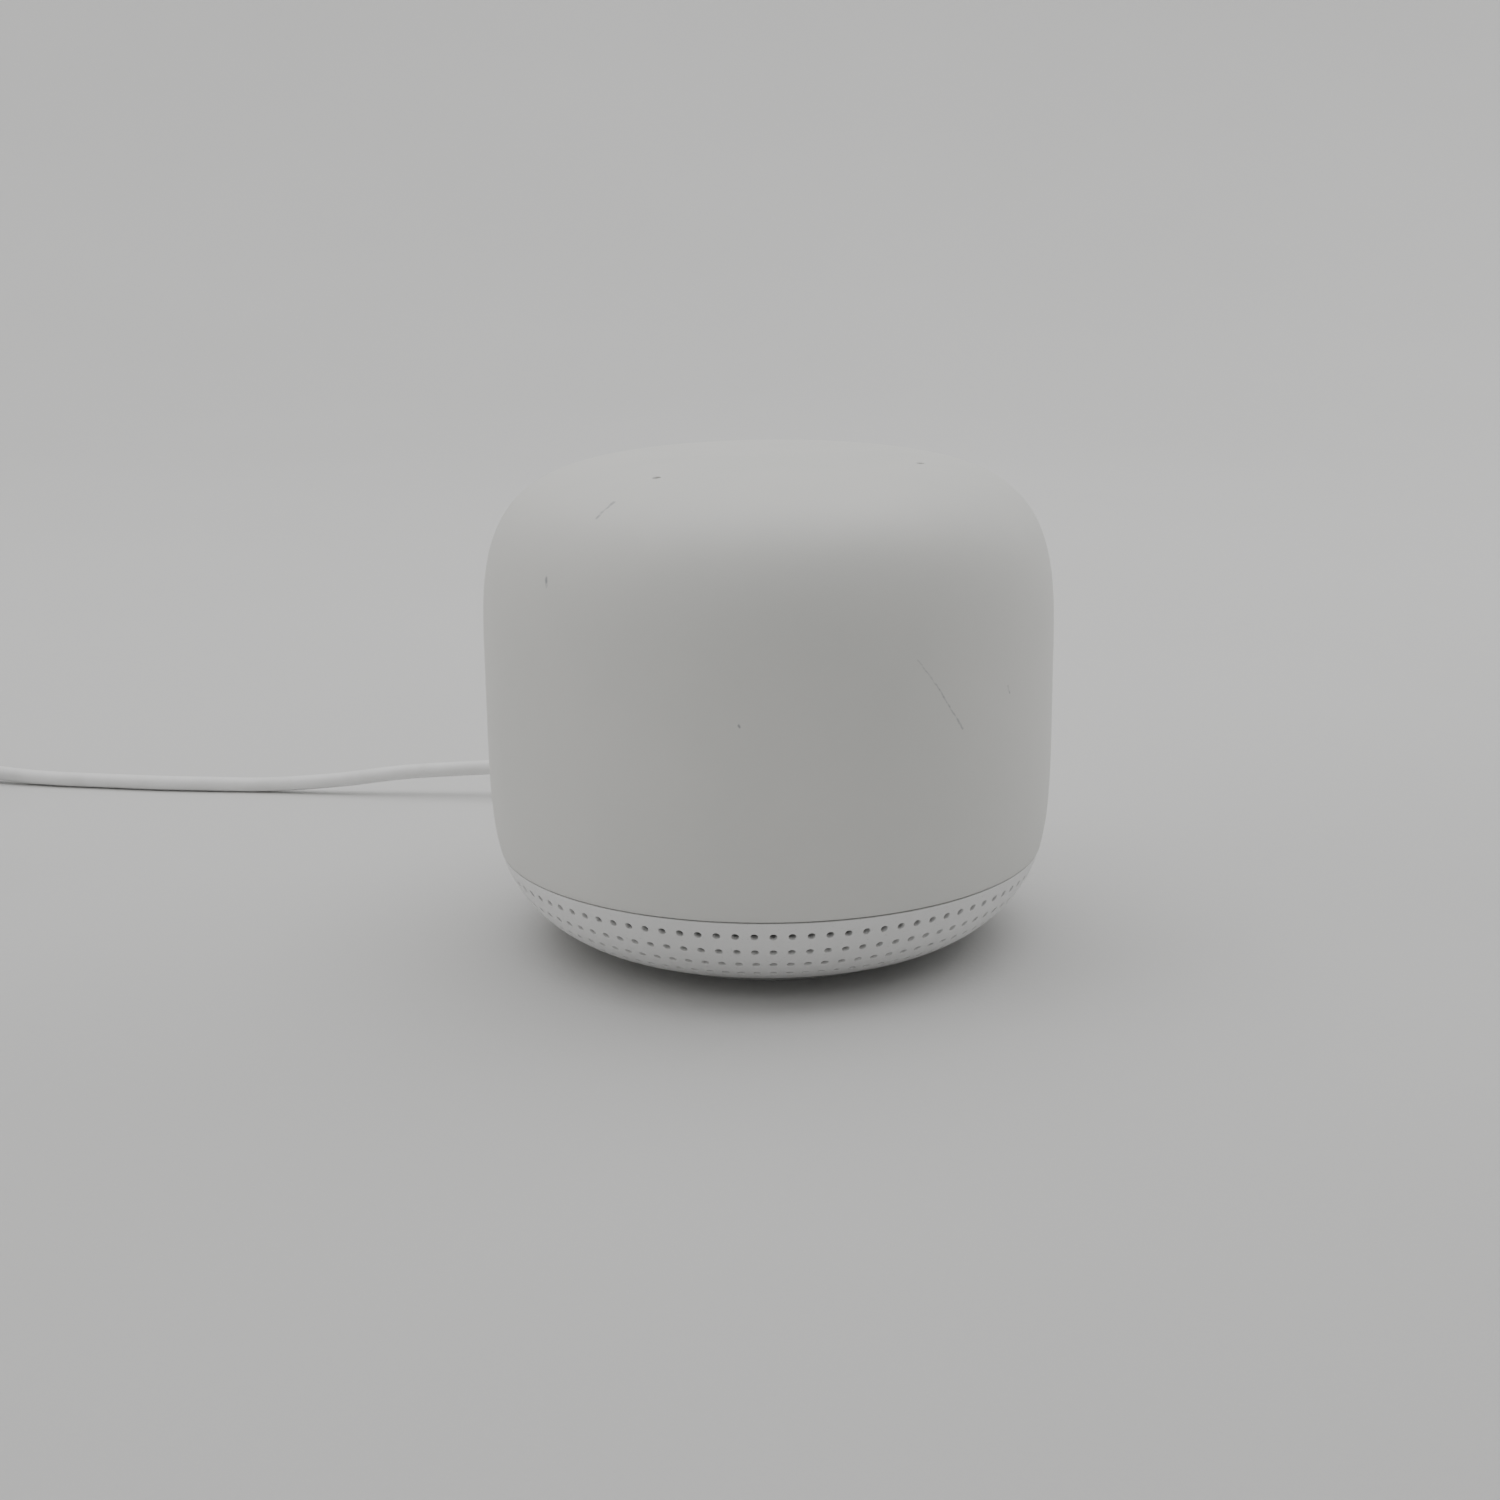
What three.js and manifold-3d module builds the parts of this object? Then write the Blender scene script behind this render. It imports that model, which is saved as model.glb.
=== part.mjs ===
// A round mesh Wi-Fi point with a speaker that fires downwards, its power lead and wall adapter.
// Millimetres, +Z up. The origin is on the floor, under the centre of the body. The front faces
// -Y; the power jack and the microphone switch face +Y, the back.
import * as THREE from "three";
import { mergeVertices } from "three/addons/utils/BufferGeometryUtils.js";
import Module from "manifold-3d";

const wasm = await Module();
wasm.setup();

// ---------------------------------------------------------------- driving dimensions
const GAP = 0.3; // between pieces that touch
const SLIDE_GAP = 0.5; // round a moving piece in its hole

// Outer shape: a superellipse of revolution above and below the widest height.
const BODY_R = 51.1;
const BODY_H = 87.2;
const WIDEST_Z = 52.5;
const CROWN = { round: 5.05, rise: 3.26 }; // exponents above the widest height
const SKIRT = { round: 3.6, rise: 5.66, foot: 0.5 }; // exponents and vanishing height below it
const SEAM_Z = 17.16; // joint between the top shell and the perforated base
const SHELL_WALL = 2.0;

// The base turns under on one arc, which carries rows of round perforations.
const BOWL_R = 22.35;
const BOWL_START = 16; // degrees below horizontal, where the arc leaves the seam
const BOWL_END = 64;
const BOWL_WALL = 1.8;
const HOLE_R = 0.65;
const HOLE_ROWS = 4;
const HOLES_PER_ROW = 96;
const FIRST_ROW = 23.6; // degrees below horizontal on the arc
const ROW_PITCH = 9.73; // degrees between rows
const TONGUE = { wall: 1.2, height: 2.0 }; // lip of the base inside the top shell

// Underside, from the floor up.
const FOOT = { inner: 20, outer: 30.5, height: 2.8 };
const PLATE_T = 1.6;
const LIGHT_RING = { width: 3.4, recess: 0.3, height: 2.6 };
const BOARD_T = 0.8;
const LED = { count: 8, size: 2.4, height: 0.8 };
const FLANGE_T = 1.5;
const STEM_WALL = 1.5;
const FLANGE_INNER = 20;
const LIGHT_ROOM = 2.5; // from the bottom plate up to the light board
const RESET = { y: -10, radius: 2.5, collar: 1.3, collarT: 0.4, travel: 0.35 };

// Screws. Four join the base to the chamber, three join the chamber to the top shell.
const BASE_SCREW = { ring: 27, shank: 1.1, head: 2.5, headT: 1.5, post: 3.5, boss: 3.9 };
const SHELL_SCREW = { shank: 0.9, head: 2.2, headT: 1.1, inset: 5.6 };

// Loudspeaker and its sealed box.
const BAFFLE_T = 2.0;
const CHAMBER_H = 27.5;
const CHAMBER_WALL = 1.5;
const LEDGE = { width: 7.8, height: 2.5 }; // ring inside the top shell that the baffle meets
const DRIVER = { flange: 22.8, throat: 18.3, flangeT: 1.2, depth: 11, plate: 14.5, pole: 7.3 };
const DRIVER_GAP = 0.5; // voice coil to pole and to front plate
const MAGNET_H = 6.0;
const METAL_T = 2.0; // front plate and yoke disc
const COIL_WALL = 1.0;
const GASKET_T = 0.6; // foam between the baffle and the driver

// Electronics.
const REAR_ROOM = 11; // between the chamber wall and the top shell, for the switch board
const HEAT_SINK = { plate: 2, fins: 4, finPitch: 6, finT: 2 };
const PAD_T = 0.6;
const CHIP_T = 1.2;
const MAIN_BOARD_T = 1.2;
const CARRIER_WALL = 1.5;
const ANTENNA = { width: 14, height: 22, thick: 0.8, count: 3 };
const MIC = { ring: 27.5, hole: 0.75, width: 4, depth: 3, height: 1.0 };
const TOUCH_DROP = 6.4; // from the crown down to the underside of the touch board
const SWITCH = { z: 27.2, knobW: 4.8, knobH: 3.0, travel: 3.0, proud: 0.25, lap: 0.4, boardW: 18 };

// Power jack and plug.
const JACK_Z = 11.5;
const PORT = { wall: 0.8, bore: 4.6, depth: 8.5 };
const JACK_BODY = { width: 9, height: 8, length: 13 };
const BARREL_R = 2.75;
const PLUG = { grip: 4.6, gripL: 14 };
const RELIEF = { base: 3.4, tip: 2.1, length: 15.9 };

// Lead: a 3.2 mm cord, coiled outside on the floor, with the adapter lying beside the coil.
const CORD_R = 1.6;
const COIL = { x: -171.5, y: 144.7, mid: 18, across: 5, layers: 3, lift: 1.3 };
const TIE_T = 1.0;
const TIE_W = 6;
const ADAPTER = { size: 44, body: 25, cover: 3.2, round: 7, y: 77 };
const BLADE = { width: 6.3, thick: 1.5, length: 16, pitch: 12.7 };
const ADAPTER_RELIEF = { base: 3.6, tip: 2.1, length: 20 };

// ---------------------------------------------------------------- derived outline
const rad = THREE.MathUtils.degToRad;
const P = (x, y) => new THREE.Vector2(x, y);

/** Radius of the outer surface at height z, for a body inset by `inset` all round. */
function bodyRadius(z, inset = 0) {
  const up = z >= WIDEST_Z;
  const span = up ? BODY_H - inset - WIDEST_Z : WIDEST_Z - SKIRT.foot;
  const { round, rise } = up ? CROWN : SKIRT;
  const t = Math.min(Math.abs(z - WIDEST_Z) / span, 1);
  return (BODY_R - inset) * (1 - t ** rise) ** (1 / round);
}

const seamR = bodyRadius(SEAM_Z);
const bowlCentre = P(
  seamR - BOWL_R * Math.cos(rad(BOWL_START)),
  SEAM_Z + BOWL_R * Math.sin(rad(BOWL_START)),
);
/** Point on the base's arc, `angle` degrees below horizontal, inset by `inset`. */
function bowlPoint(angle, inset = 0) {
  const r = BOWL_R - inset;
  return P(bowlCentre.x + r * Math.cos(rad(angle)), bowlCentre.y - r * Math.sin(rad(angle)));
}
/** Radius of the base's arc at height z. */
function bowlRadius(z, inset = 0) {
  return bowlCentre.x + Math.sqrt((BOWL_R - inset) ** 2 - (bowlCentre.y - z) ** 2);
}

const plateZ = FOOT.height + GAP;
const stemR = bowlPoint(BOWL_END, BOWL_WALL).x - GAP; // outside of the base frame
const rimR = stemR - STEM_WALL;
const lightOuter = rimR - GAP;
const lightInner = lightOuter - LIGHT_RING.width;
const plateR = lightInner - GAP;
const lightBoardZ = plateZ + PLATE_T + LIGHT_ROOM;
const flangeZ = lightBoardZ + BOARD_T + GAP;
const flangeTop = flangeZ + FLANGE_T;
const tongueTop = SEAM_Z - GAP / 2 + TONGUE.height;
const baffleZ = tongueTop + 2 * GAP;
const baffleTop = baffleZ + BAFFLE_T;
const baffleR = bodyRadius(baffleZ, SHELL_WALL) - 2 * GAP;
const ledgeR = bodyRadius(baffleTop, SHELL_WALL) - LEDGE.width;
const chamberR = bodyRadius(SWITCH.z, SHELL_WALL) - REAR_ROOM;
const chamberTop = baffleZ + CHAMBER_H;
const lidZ = chamberTop + GAP;
const lidTop = lidZ + CHAMBER_WALL;
const sinkZ = lidTop + GAP;
const sinkTop = sinkZ + HEAT_SINK.fins + HEAT_SINK.plate;
const padZ = sinkTop + GAP;
const chipZ = padZ + PAD_T + GAP;
const mainBoardZ = chipZ + CHIP_T + GAP;
const mainBoardTop = mainBoardZ + MAIN_BOARD_T;
const touchZ = BODY_H - TOUCH_DROP;
const touchR = bodyRadius(touchZ + 2, SHELL_WALL) - 4;
const carrierR = chamberR + 2.8;
const carrierTop = touchZ - GAP;
const screwRing = BODY_R - SHELL_WALL - SHELL_SCREW.inset;
const driverZ = baffleTop + GAP + GASKET_T + GAP;

// ---------------------------------------------------------------- solids
const FLAT = 0.004; // faces closer than this to one plane are merged
const SPOKE = (i, n, start = 0) => start + (i * 2 * Math.PI) / n;

function toSolid(geometry) {
  const bare = geometry.clone();
  bare.deleteAttribute("normal");
  bare.deleteAttribute("uv");
  const merged = mergeVertices(bare, 1e-4);
  return new wasm.Manifold(
    new wasm.Mesh({
      numProp: 3,
      vertProperties: merged.attributes.position.array,
      triVerts: new Uint32Array(merged.index.array),
    }),
  );
}

function toGeometry(solid) {
  const mesh = solid.getMesh();
  const geometry = new THREE.BufferGeometry();
  geometry.setAttribute("position", new THREE.BufferAttribute(mesh.vertProperties, 3));
  geometry.setIndex(new THREE.BufferAttribute(mesh.triVerts, 1));
  geometry.computeVertexNormals();
  return geometry;
}

const cut = (body, ...tools) =>
  toGeometry(wasm.Manifold.difference([body, ...tools].map(toSolid)).simplify(FLAT));
const join = (...bodies) => toGeometry(wasm.Manifold.union(bodies.map(toSolid)).simplify(FLAT));
const common = (a, b) => toGeometry(toSolid(a).intersect(toSolid(b)));

/** Turns an (r, z) outline about Z. An outline off the axis is closed on itself. */
function turn(outline, segments = 24) {
  const area = outline.reduce((sum, p, i) => sum + p.cross(outline[(i + 1) % outline.length]), 0);
  const points = area > 0 ? [...outline] : [...outline].reverse();
  const onAxis = points.findIndex((p, i) => p.x === 0 && points[(i + 1) % points.length].x === 0);
  const ordered =
    onAxis < 0
      ? [...points, points[0]]
      : [...points.slice(onAxis + 1), ...points.slice(0, onAxis + 1)];
  return new THREE.LatheGeometry(ordered, segments).rotateX(Math.PI / 2);
}

const ring = (inner, outer, z0, z1, segments) =>
  turn([P(inner, z0), P(outer, z0), P(outer, z1), P(inner, z1)], segments);

const disc = (radius, z0, z1, segments = 24) =>
  new THREE.CylinderGeometry(radius, radius, z1 - z0, segments)
    .rotateX(Math.PI / 2)
    .translate(0, 0, (z0 + z1) / 2);

/** Round bar along +Y from y0 to y1, tapering from r0 to r1. */
const barY = (r0, r1, y0, y1, segments = 20) =>
  new THREE.CylinderGeometry(r1, r0, y1 - y0, segments).translate(0, (y0 + y1) / 2, 0);

const block = (x0, x1, y0, y1, z0, z1) =>
  new THREE.BoxGeometry(x1 - x0, y1 - y0, z1 - z0).translate(
    (x0 + x1) / 2,
    (y0 + y1) / 2,
    (z0 + z1) / 2,
  );

function roundedSquare(size, radius) {
  const h = size / 2 - radius;
  const shape = new THREE.Shape();
  shape.absarc(h, h, radius, 0, Math.PI / 2);
  shape.absarc(-h, h, radius, Math.PI / 2, Math.PI);
  shape.absarc(-h, -h, radius, Math.PI, 1.5 * Math.PI);
  shape.absarc(h, -h, radius, 1.5 * Math.PI, 2 * Math.PI);
  return shape;
}

const slab = (shape, z0, z1, curveSegments = 5) =>
  new THREE.ExtrudeGeometry(shape, { depth: z1 - z0, bevelEnabled: false, curveSegments }).translate(
    0,
    0,
    z0,
  );

function tube(points, radius, steps) {
  const section = new THREE.Shape(
    Array.from({ length: 8 }, (_, i) =>
      P(radius * Math.cos(SPOKE(i, 8)), radius * Math.sin(SPOKE(i, 8))),
    ),
  );
  const path = new THREE.CatmullRomCurve3(points.map((p) => new THREE.Vector3(...p)));
  return new THREE.ExtrudeGeometry(section, { steps, extrudePath: path, bevelEnabled: false });
}

function piece(name, geometry, color, roughness = 0.6, metalness = 0) {
  const mesh = new THREE.Mesh(
    geometry,
    new THREE.MeshStandardMaterial({ color, roughness, metalness }),
  );
  mesh.name = name;
  return mesh;
}

const group = (...children) => new THREE.Group().add(...children);

const COLOUR = {
  shell: 0xe9e8e4,
  base: 0xe2e1dd,
  rubber: 0xb9b9b6,
  diffuser: 0xf4f4f0,
  board: 0x1f5c3a,
  black: 0x1d1d1f,
  steel: 0xb8babd,
  aluminium: 0xc9ccd0,
  copper: 0xb87333,
  gold: 0xc9a45a,
  foam: 0x3a3a3c,
  paper: 0x2b2b2d,
  white: 0xf0f0ee,
};

// ---------------------------------------------------------------- casing
const micAngles = [0, 1, 2].map((i) => SPOKE(i, 3, Math.PI / 2));
const onRing = (geometry, radius, angle) =>
  geometry.translate(radius * Math.cos(angle), radius * Math.sin(angle), 0);

function topShell() {
  const bottom = SEAM_Z + GAP / 2;
  const outer = [];
  const inner = [];
  for (const z of [bottom, 22, 30, 40, WIDEST_Z]) outer.push(P(bodyRadius(z), z));
  const crown = BODY_H - WIDEST_Z;
  for (const t of [0.25, 0.42, 0.56, 0.68, 0.78, 0.86, 0.92, 0.96, 0.985])
    outer.push(P(bodyRadius(WIDEST_Z + crown * t), WIDEST_Z + crown * t));
  outer.push(P(0, BODY_H));
  inner.push(P(0, BODY_H - SHELL_WALL));
  for (const t of [0.97, 0.9, 0.78, 0.62, 0.4, 0]) {
    const z = WIDEST_Z + (crown - SHELL_WALL) * t;
    inner.push(P(bodyRadius(z, SHELL_WALL), z));
  }
  const ledgeZ = baffleTop + GAP;
  const ledgeTop = ledgeZ + LEDGE.height;
  inner.push(P(bodyRadius(ledgeTop + 8, SHELL_WALL), ledgeTop + 8));
  inner.push(P(bodyRadius(ledgeTop, SHELL_WALL), ledgeTop), P(ledgeR, ledgeTop), P(ledgeR, ledgeZ));
  inner.push(P(bodyRadius(ledgeZ, SHELL_WALL), ledgeZ), P(bodyRadius(bottom, SHELL_WALL), bottom));
  const half = (SWITCH.knobW + SWITCH.travel) / 2 + SLIDE_GAP;
  const tall = SWITCH.knobH / 2 + SLIDE_GAP;
  const slot = block(-half, half, BODY_R - 8, BODY_R + 1, SWITCH.z - tall, SWITCH.z + tall);
  const boardRoom = SWITCH.boardW / 2 + 1.5;
  const notch = block(-boardRoom, boardRoom, ledgeR - 1, seamR - 3.4, ledgeZ - 1, ledgeTop + 1);
  const micHoles = micAngles.map((a) =>
    onRing(disc(MIC.hole, BODY_H - 6, BODY_H + 1, 8), MIC.ring, a),
  );
  const screwHoles = shellScrewAngles.map((a) =>
    onRing(disc(SHELL_SCREW.shank + SLIDE_GAP, ledgeZ - 1, ledgeTop + 1, 8), screwRing, a),
  );
  return cut(turn([...outer, ...inner], 48), slot, notch, ...micHoles, ...screwHoles);
}

const shellScrewAngles = [0, 1, 2].map((i) => SPOKE(i, 3, -Math.PI / 2));
const baseScrewAngles = [0, 1, 2, 3].map((i) => SPOKE(i, 4, Math.PI / 4));

/**
 * Turns an outline about Z. Each pair of edges in `bands`, one outer and one inner, is pierced by
 * two diamond holes per facet, except in the facets that `plain` picks out.
 */
function perforatedTurn(outline, bands, facets, plain) {
  const corners = [P(0, 0), P(1, 0), P(1, 1), P(0, 1)];
  const positions = [];
  const at = (edge, facet, u, v) => {
    const a = outline[edge];
    const b = outline[(edge + 1) % outline.length];
    const r = a.x + (b.x - a.x) * v;
    const from = SPOKE(facet, facets);
    const to = SPOKE(facet + 1, facets);
    const x = r * (Math.cos(from) * (1 - u) + Math.cos(to) * u);
    const y = r * (Math.sin(from) * (1 - u) + Math.sin(to) * u);
    return [x, y, a.y + (b.y - a.y) * v];
  };
  const diamond = (edge, u) => {
    const a = outline[edge];
    const b = outline[(edge + 1) % outline.length];
    const du = HOLE_R / ((a.x + b.x) * Math.sin(Math.PI / facets));
    const dv = HOLE_R / a.distanceTo(b);
    return [P(u - du, 0.5), P(u, 0.5 - dv), P(u + du, 0.5), P(u, 0.5 + dv)];
  };
  const inner = new Map(bands);
  const pierced = new Set(bands.flat());
  for (let edge = 0; edge < outline.length; edge++)
    for (let facet = 0; facet < facets; facet++) {
      const open = pierced.has(edge) && !plain(facet);
      const holes = open ? [diamond(edge, 0.25), diamond(edge, 0.75)] : [];
      const points = [...corners, ...holes.flat()];
      for (const face of THREE.ShapeUtils.triangulateShape(corners, holes))
        for (const i of face) positions.push(...at(edge, facet, points[i].x, points[i].y));
      if (!inner.has(edge) || !holes.length) continue;
      [0.25, 0.75].forEach((u, h) => {
        const near = holes[h].map((p) => at(edge, facet, p.x, p.y));
        const behind = inner.get(edge);
        const far = diamond(behind, u).map((p) => at(behind, facet, p.x, 1 - p.y));
        for (let j = 0; j < 4; j++) {
          const k = (j + 1) % 4;
          positions.push(...near[j], ...near[k], ...far[k], ...near[j], ...far[k], ...far[j]);
        }
      });
    }
  const attribute = new THREE.Float32BufferAttribute(positions, 3);
  return new THREE.BufferGeometry().setAttribute("position", attribute);
}

const jackHalf = JACK_BODY.width / 2 + SLIDE_GAP;
const portFace = bowlRadius(JACK_Z);
const portBack = portFace - PORT.depth;
const jackFront = portBack - GAP;

function baseGrille() {
  const top = SEAM_Z - GAP / 2;
  const tongueR = bodyRadius(SEAM_Z, SHELL_WALL) - GAP;
  const rows = Array.from({ length: HOLE_ROWS }, (_, row) => FIRST_ROW + row * ROW_PITCH);
  const sides = rows.flatMap((a) => [a - ROW_PITCH / 4, a + ROW_PITCH / 4]);
  const outer = [BOWL_END, ...sides.toReversed()].map((a) => bowlPoint(a));
  const inner = [...sides, BOWL_END].map((a) => bowlPoint(a, BOWL_WALL));
  const rim = [
    P(seamR, top),
    P(tongueR, top),
    P(tongueR, tongueTop),
    P(tongueR - TONGUE.wall, tongueTop),
    P(tongueR - TONGUE.wall, top - 1.2),
  ];
  const firstInner = outer.length + rim.length;
  const bands = rows.map((_, row) => [2 * (HOLE_ROWS - row) - 1, firstInner + 2 * row]);
  const facets = HOLES_PER_ROW / 2;
  const back = facets / 4; // the facets on either side of +Y carry the port instead
  const outline = [...outer, ...rim, ...inner];
  const skin = perforatedTurn(outline, bands, facets, (f) => f === back || f === back - 1);
  const spoutR = PORT.bore + PORT.wall;
  const spout = barY(spoutR, spoutR, portBack, portFace + 6).translate(0, 0, JACK_Z);
  const limit = turn([P(0, 0), P(outer[0].x, 0), ...outer, P(seamR, top), P(0, top)], facets);
  const bore = barY(PORT.bore, PORT.bore, portBack - 1, portFace + 8).translate(0, 0, JACK_Z);
  return cut(join(skin, common(spout, limit)), bore);
}

/** Ring that carries the four posts, the light board and the sound deflector. */
function baseFrame() {
  const hoop = turn(
    [
      P(stemR, bowlPoint(BOWL_END).y),
      P(stemR, flangeTop),
      P(FLANGE_INNER, flangeTop),
      P(FLANGE_INNER, flangeZ),
      P(rimR, flangeZ),
      P(rimR, bowlPoint(BOWL_END).y),
    ],
    48,
  );
  const posts = baseScrewAngles.map((a) =>
    onRing(disc(BASE_SCREW.post, flangeZ + 0.5, baffleZ - GAP, 12), BASE_SCREW.ring, a),
  );
  const bores = baseScrewAngles.map((a) =>
    onRing(disc(BASE_SCREW.shank + SLIDE_GAP, flangeZ - 1, baffleZ + 1, 8), BASE_SCREW.ring, a),
  );
  const low = JACK_Z - JACK_BODY.height / 2 - SLIDE_GAP;
  const notch = block(-jackHalf, jackHalf, jackFront - JACK_BODY.length - 1, portBack, low, baffleZ);
  return cut(join(hoop, ...posts), notch, ...bores);
}

function bottomPlate() {
  const top = plateZ + PLATE_T;
  const bosses = baseScrewAngles.map((a) =>
    onRing(disc(BASE_SCREW.boss, plateZ + 0.2, lightBoardZ - GAP, 12), BASE_SCREW.ring, a),
  );
  const sinkTopZ = plateZ + BASE_SCREW.headT + 2 * GAP;
  const sinks = baseScrewAngles.map((a) =>
    onRing(disc(BASE_SCREW.head + GAP, plateZ - 1, sinkTopZ, 12), BASE_SCREW.ring, a),
  );
  const shaft = BASE_SCREW.shank + SLIDE_GAP;
  const bores = baseScrewAngles.map((a) =>
    onRing(disc(shaft, plateZ - 1, lightBoardZ + 1, 8), BASE_SCREW.ring, a),
  );
  const reset = disc(RESET.radius + SLIDE_GAP, plateZ - 1, top + 1, 16).translate(0, RESET.y, 0);
  return cut(join(disc(plateR, plateZ, top, 48), ...bosses), ...sinks, ...bores, reset);
}

function lightBoard() {
  const board = disc(lightOuter, lightBoardZ, lightBoardZ + BOARD_T, 48);
  const half = LED.size / 2;
  const ledRing = (lightInner + lightOuter) / 2;
  const leds = Array.from({ length: LED.count }, (_, i) =>
    block(-half, half, -half, half, lightBoardZ - LED.height, lightBoardZ + 0.2)
      .translate(ledRing, 0, 0)
      .rotateZ(SPOKE(i + 0.5, LED.count)),
  );
  const shaft = BASE_SCREW.shank + SLIDE_GAP;
  const bores = baseScrewAngles.map((a) =>
    onRing(disc(shaft, lightBoardZ - 1, lightBoardZ + 2, 8), BASE_SCREW.ring, a),
  );
  const jackEnd = jackFront - JACK_BODY.length - 1;
  const notch = block(-jackHalf, jackHalf, jackEnd, lightOuter + 1, lightBoardZ - 0.4, flangeZ);
  return cut(join(board, ...leds), notch, ...bores);
}

function resetButton() {
  const collarZ = plateZ + PLATE_T + GAP;
  const outline = [
    P(0, plateZ + 0.2),
    P(RESET.radius, plateZ + 0.2),
    P(RESET.radius, collarZ),
    P(RESET.radius + RESET.collar, collarZ),
    P(RESET.radius + RESET.collar, collarZ + RESET.collarT),
    P(0, collarZ + RESET.collarT),
  ];
  return turn(outline, 20).translate(0, RESET.y, 0);
}

function resetSwitch() {
  const stemZ = plateZ + PLATE_T + GAP + RESET.collarT + RESET.travel + 0.05;
  const top = lightBoardZ - GAP;
  const stem = disc(1, stemZ, top - 0.3, 12);
  return join(block(-2.5, 2.5, -2.5, 2.5, stemZ + 0.4, top), stem).translate(0, RESET.y, 0);
}

function screw({ shank, head, headT }, length) {
  const neck = P(shank, headT);
  return turn([P(0, 0), P(head, 0), P(head, headT), neck, P(shank, length), P(0, length)], 8);
}

const ringZ = plateZ + LIGHT_RING.recess;
const lightRing = ring(lightInner, lightOuter, ringZ, ringZ + LIGHT_RING.height, 48);
const casing = group(
  piece("top_shell", topShell(), COLOUR.shell, 0.55),
  piece("base_grille", baseGrille(), COLOUR.base, 0.6),
  piece("base_frame", baseFrame(), COLOUR.base, 0.6),
  piece("bottom_plate", bottomPlate(), COLOUR.base, 0.6),
  piece("rubber_foot", ring(FOOT.inner, FOOT.outer, 0, FOOT.height, 32), COLOUR.rubber, 0.9),
  piece("light_ring", lightRing, COLOUR.diffuser, 0.4),
  piece("light_board", lightBoard(), COLOUR.board, 0.5),
  piece("reset_button", resetButton(), COLOUR.rubber, 0.6),
  piece("reset_switch", resetSwitch(), COLOUR.black, 0.5),
);
baseScrewAngles.forEach((a, i) => {
  const start = plateZ + 0.2;
  const shape = screw(BASE_SCREW, baffleTop + 4 - start);
  const m = piece(`base_screw_${i + 1}`, shape, COLOUR.steel, 0.35, 0.9);
  m.position.set(BASE_SCREW.ring * Math.cos(a), BASE_SCREW.ring * Math.sin(a), start);
  casing.add(m);
});
shellScrewAngles.forEach((a, i) => {
  const start = baffleZ - GAP - SHELL_SCREW.headT;
  const shape = screw(SHELL_SCREW, baffleTop + GAP + LEDGE.height - start);
  const m = piece(`shell_screw_${i + 1}`, shape, COLOUR.steel, 0.35, 0.9);
  m.position.set(screwRing * Math.cos(a), screwRing * Math.sin(a), start);
  casing.add(m);
});

// ---------------------------------------------------------------- loudspeaker, firing down
function speakerChamber() {
  const inner = chamberR - CHAMBER_WALL;
  const throat = DRIVER.throat + GAP;
  const outline = [
    P(throat, baffleZ),
    P(baffleR, baffleZ),
    P(baffleR, baffleTop),
    P(chamberR, baffleTop),
    P(chamberR, chamberTop),
    P(inner, chamberTop),
    P(inner, baffleTop),
    P(throat, baffleTop),
  ];
  const bosses = baseScrewAngles.map((a) =>
    onRing(disc(BASE_SCREW.post, baffleTop - 0.5, baffleTop + 5, 12), BASE_SCREW.ring, a),
  );
  const baseBores = baseScrewAngles.map((a) =>
    onRing(disc(BASE_SCREW.shank + GAP, baffleZ - 1, baffleTop + 6, 8), BASE_SCREW.ring, a),
  );
  const shellBores = shellScrewAngles.map((a) =>
    onRing(disc(SHELL_SCREW.shank + GAP, baffleZ - 1, baffleTop + 1, 8), screwRing, a),
  );
  return cut(join(turn(outline, 48), ...bosses), ...baseBores, ...shellBores);
}

function soundDeflector() {
  const base = flangeTop + GAP;
  const radius = FLANGE_INNER + 2.5;
  const outline = [P(0, base), P(radius, base), P(radius, base + 0.8)];
  const rise = (t) => 0.8 + 4.2 * (1 - t) ** 2;
  for (const t of [0.75, 0.5, 0.25, 0]) outline.push(P(radius * t, base + rise(t)));
  return turn(outline);
}

function speakerBasket() {
  const { flange, throat, flangeT, depth, plate } = DRIVER;
  const hub = plate + 1.1;
  const bore = DRIVER.pole + 2 * DRIVER_GAP + COIL_WALL + DRIVER_GAP;
  const bowl = turn([
    P(throat, 0),
    P(flange, 0),
    P(flange, flangeT),
    P(throat + 2, flangeT),
    P(hub, depth),
    P(bore, depth),
    P(bore, depth - 1),
    P(hub - 0.9, depth - 1),
    P(throat + 0.6, flangeT + 0.3),
    P(throat, flangeT),
  ]);
  const windows = [0, 1].map((i) =>
    block(-flange, flange, -6, 6, flangeT + 1.4, depth - 2.4).rotateZ(SPOKE(i, 4)),
  );
  return cut(bowl, ...windows);
}

/** Half-roll of rubber between the cone and the basket, bulging downwards. */
function speakerSurround() {
  const rim = DRIVER.throat - GAP;
  const middle = rim - 1.9;
  const roll = (r, from, to) =>
    Array.from({ length: 6 }, (_, i) => {
      const a = from + ((to - from) * i) / 5;
      return P(middle + r * Math.cos(a), -r * Math.sin(a));
    });
  return turn([P(rim, 0), ...roll(1.6, 0, Math.PI), ...roll(1.1, Math.PI, 0), P(rim, 0.5)]);
}

const coneEdge = DRIVER.throat - GAP - 1.9 - 1.6 - GAP;
const coilInner = DRIVER.pole + DRIVER_GAP;
const coilOuter = coilInner + COIL_WALL;

function speakerCone() {
  const neck = coilOuter + GAP;
  const back = [P(coneEdge, -0.6), P(coneEdge, 0.1), P(neck + 0.3, 6.2)];
  return turn([...back, P(neck, 5.6), P(coneEdge - 0.7, -0.6)]);
}

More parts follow.
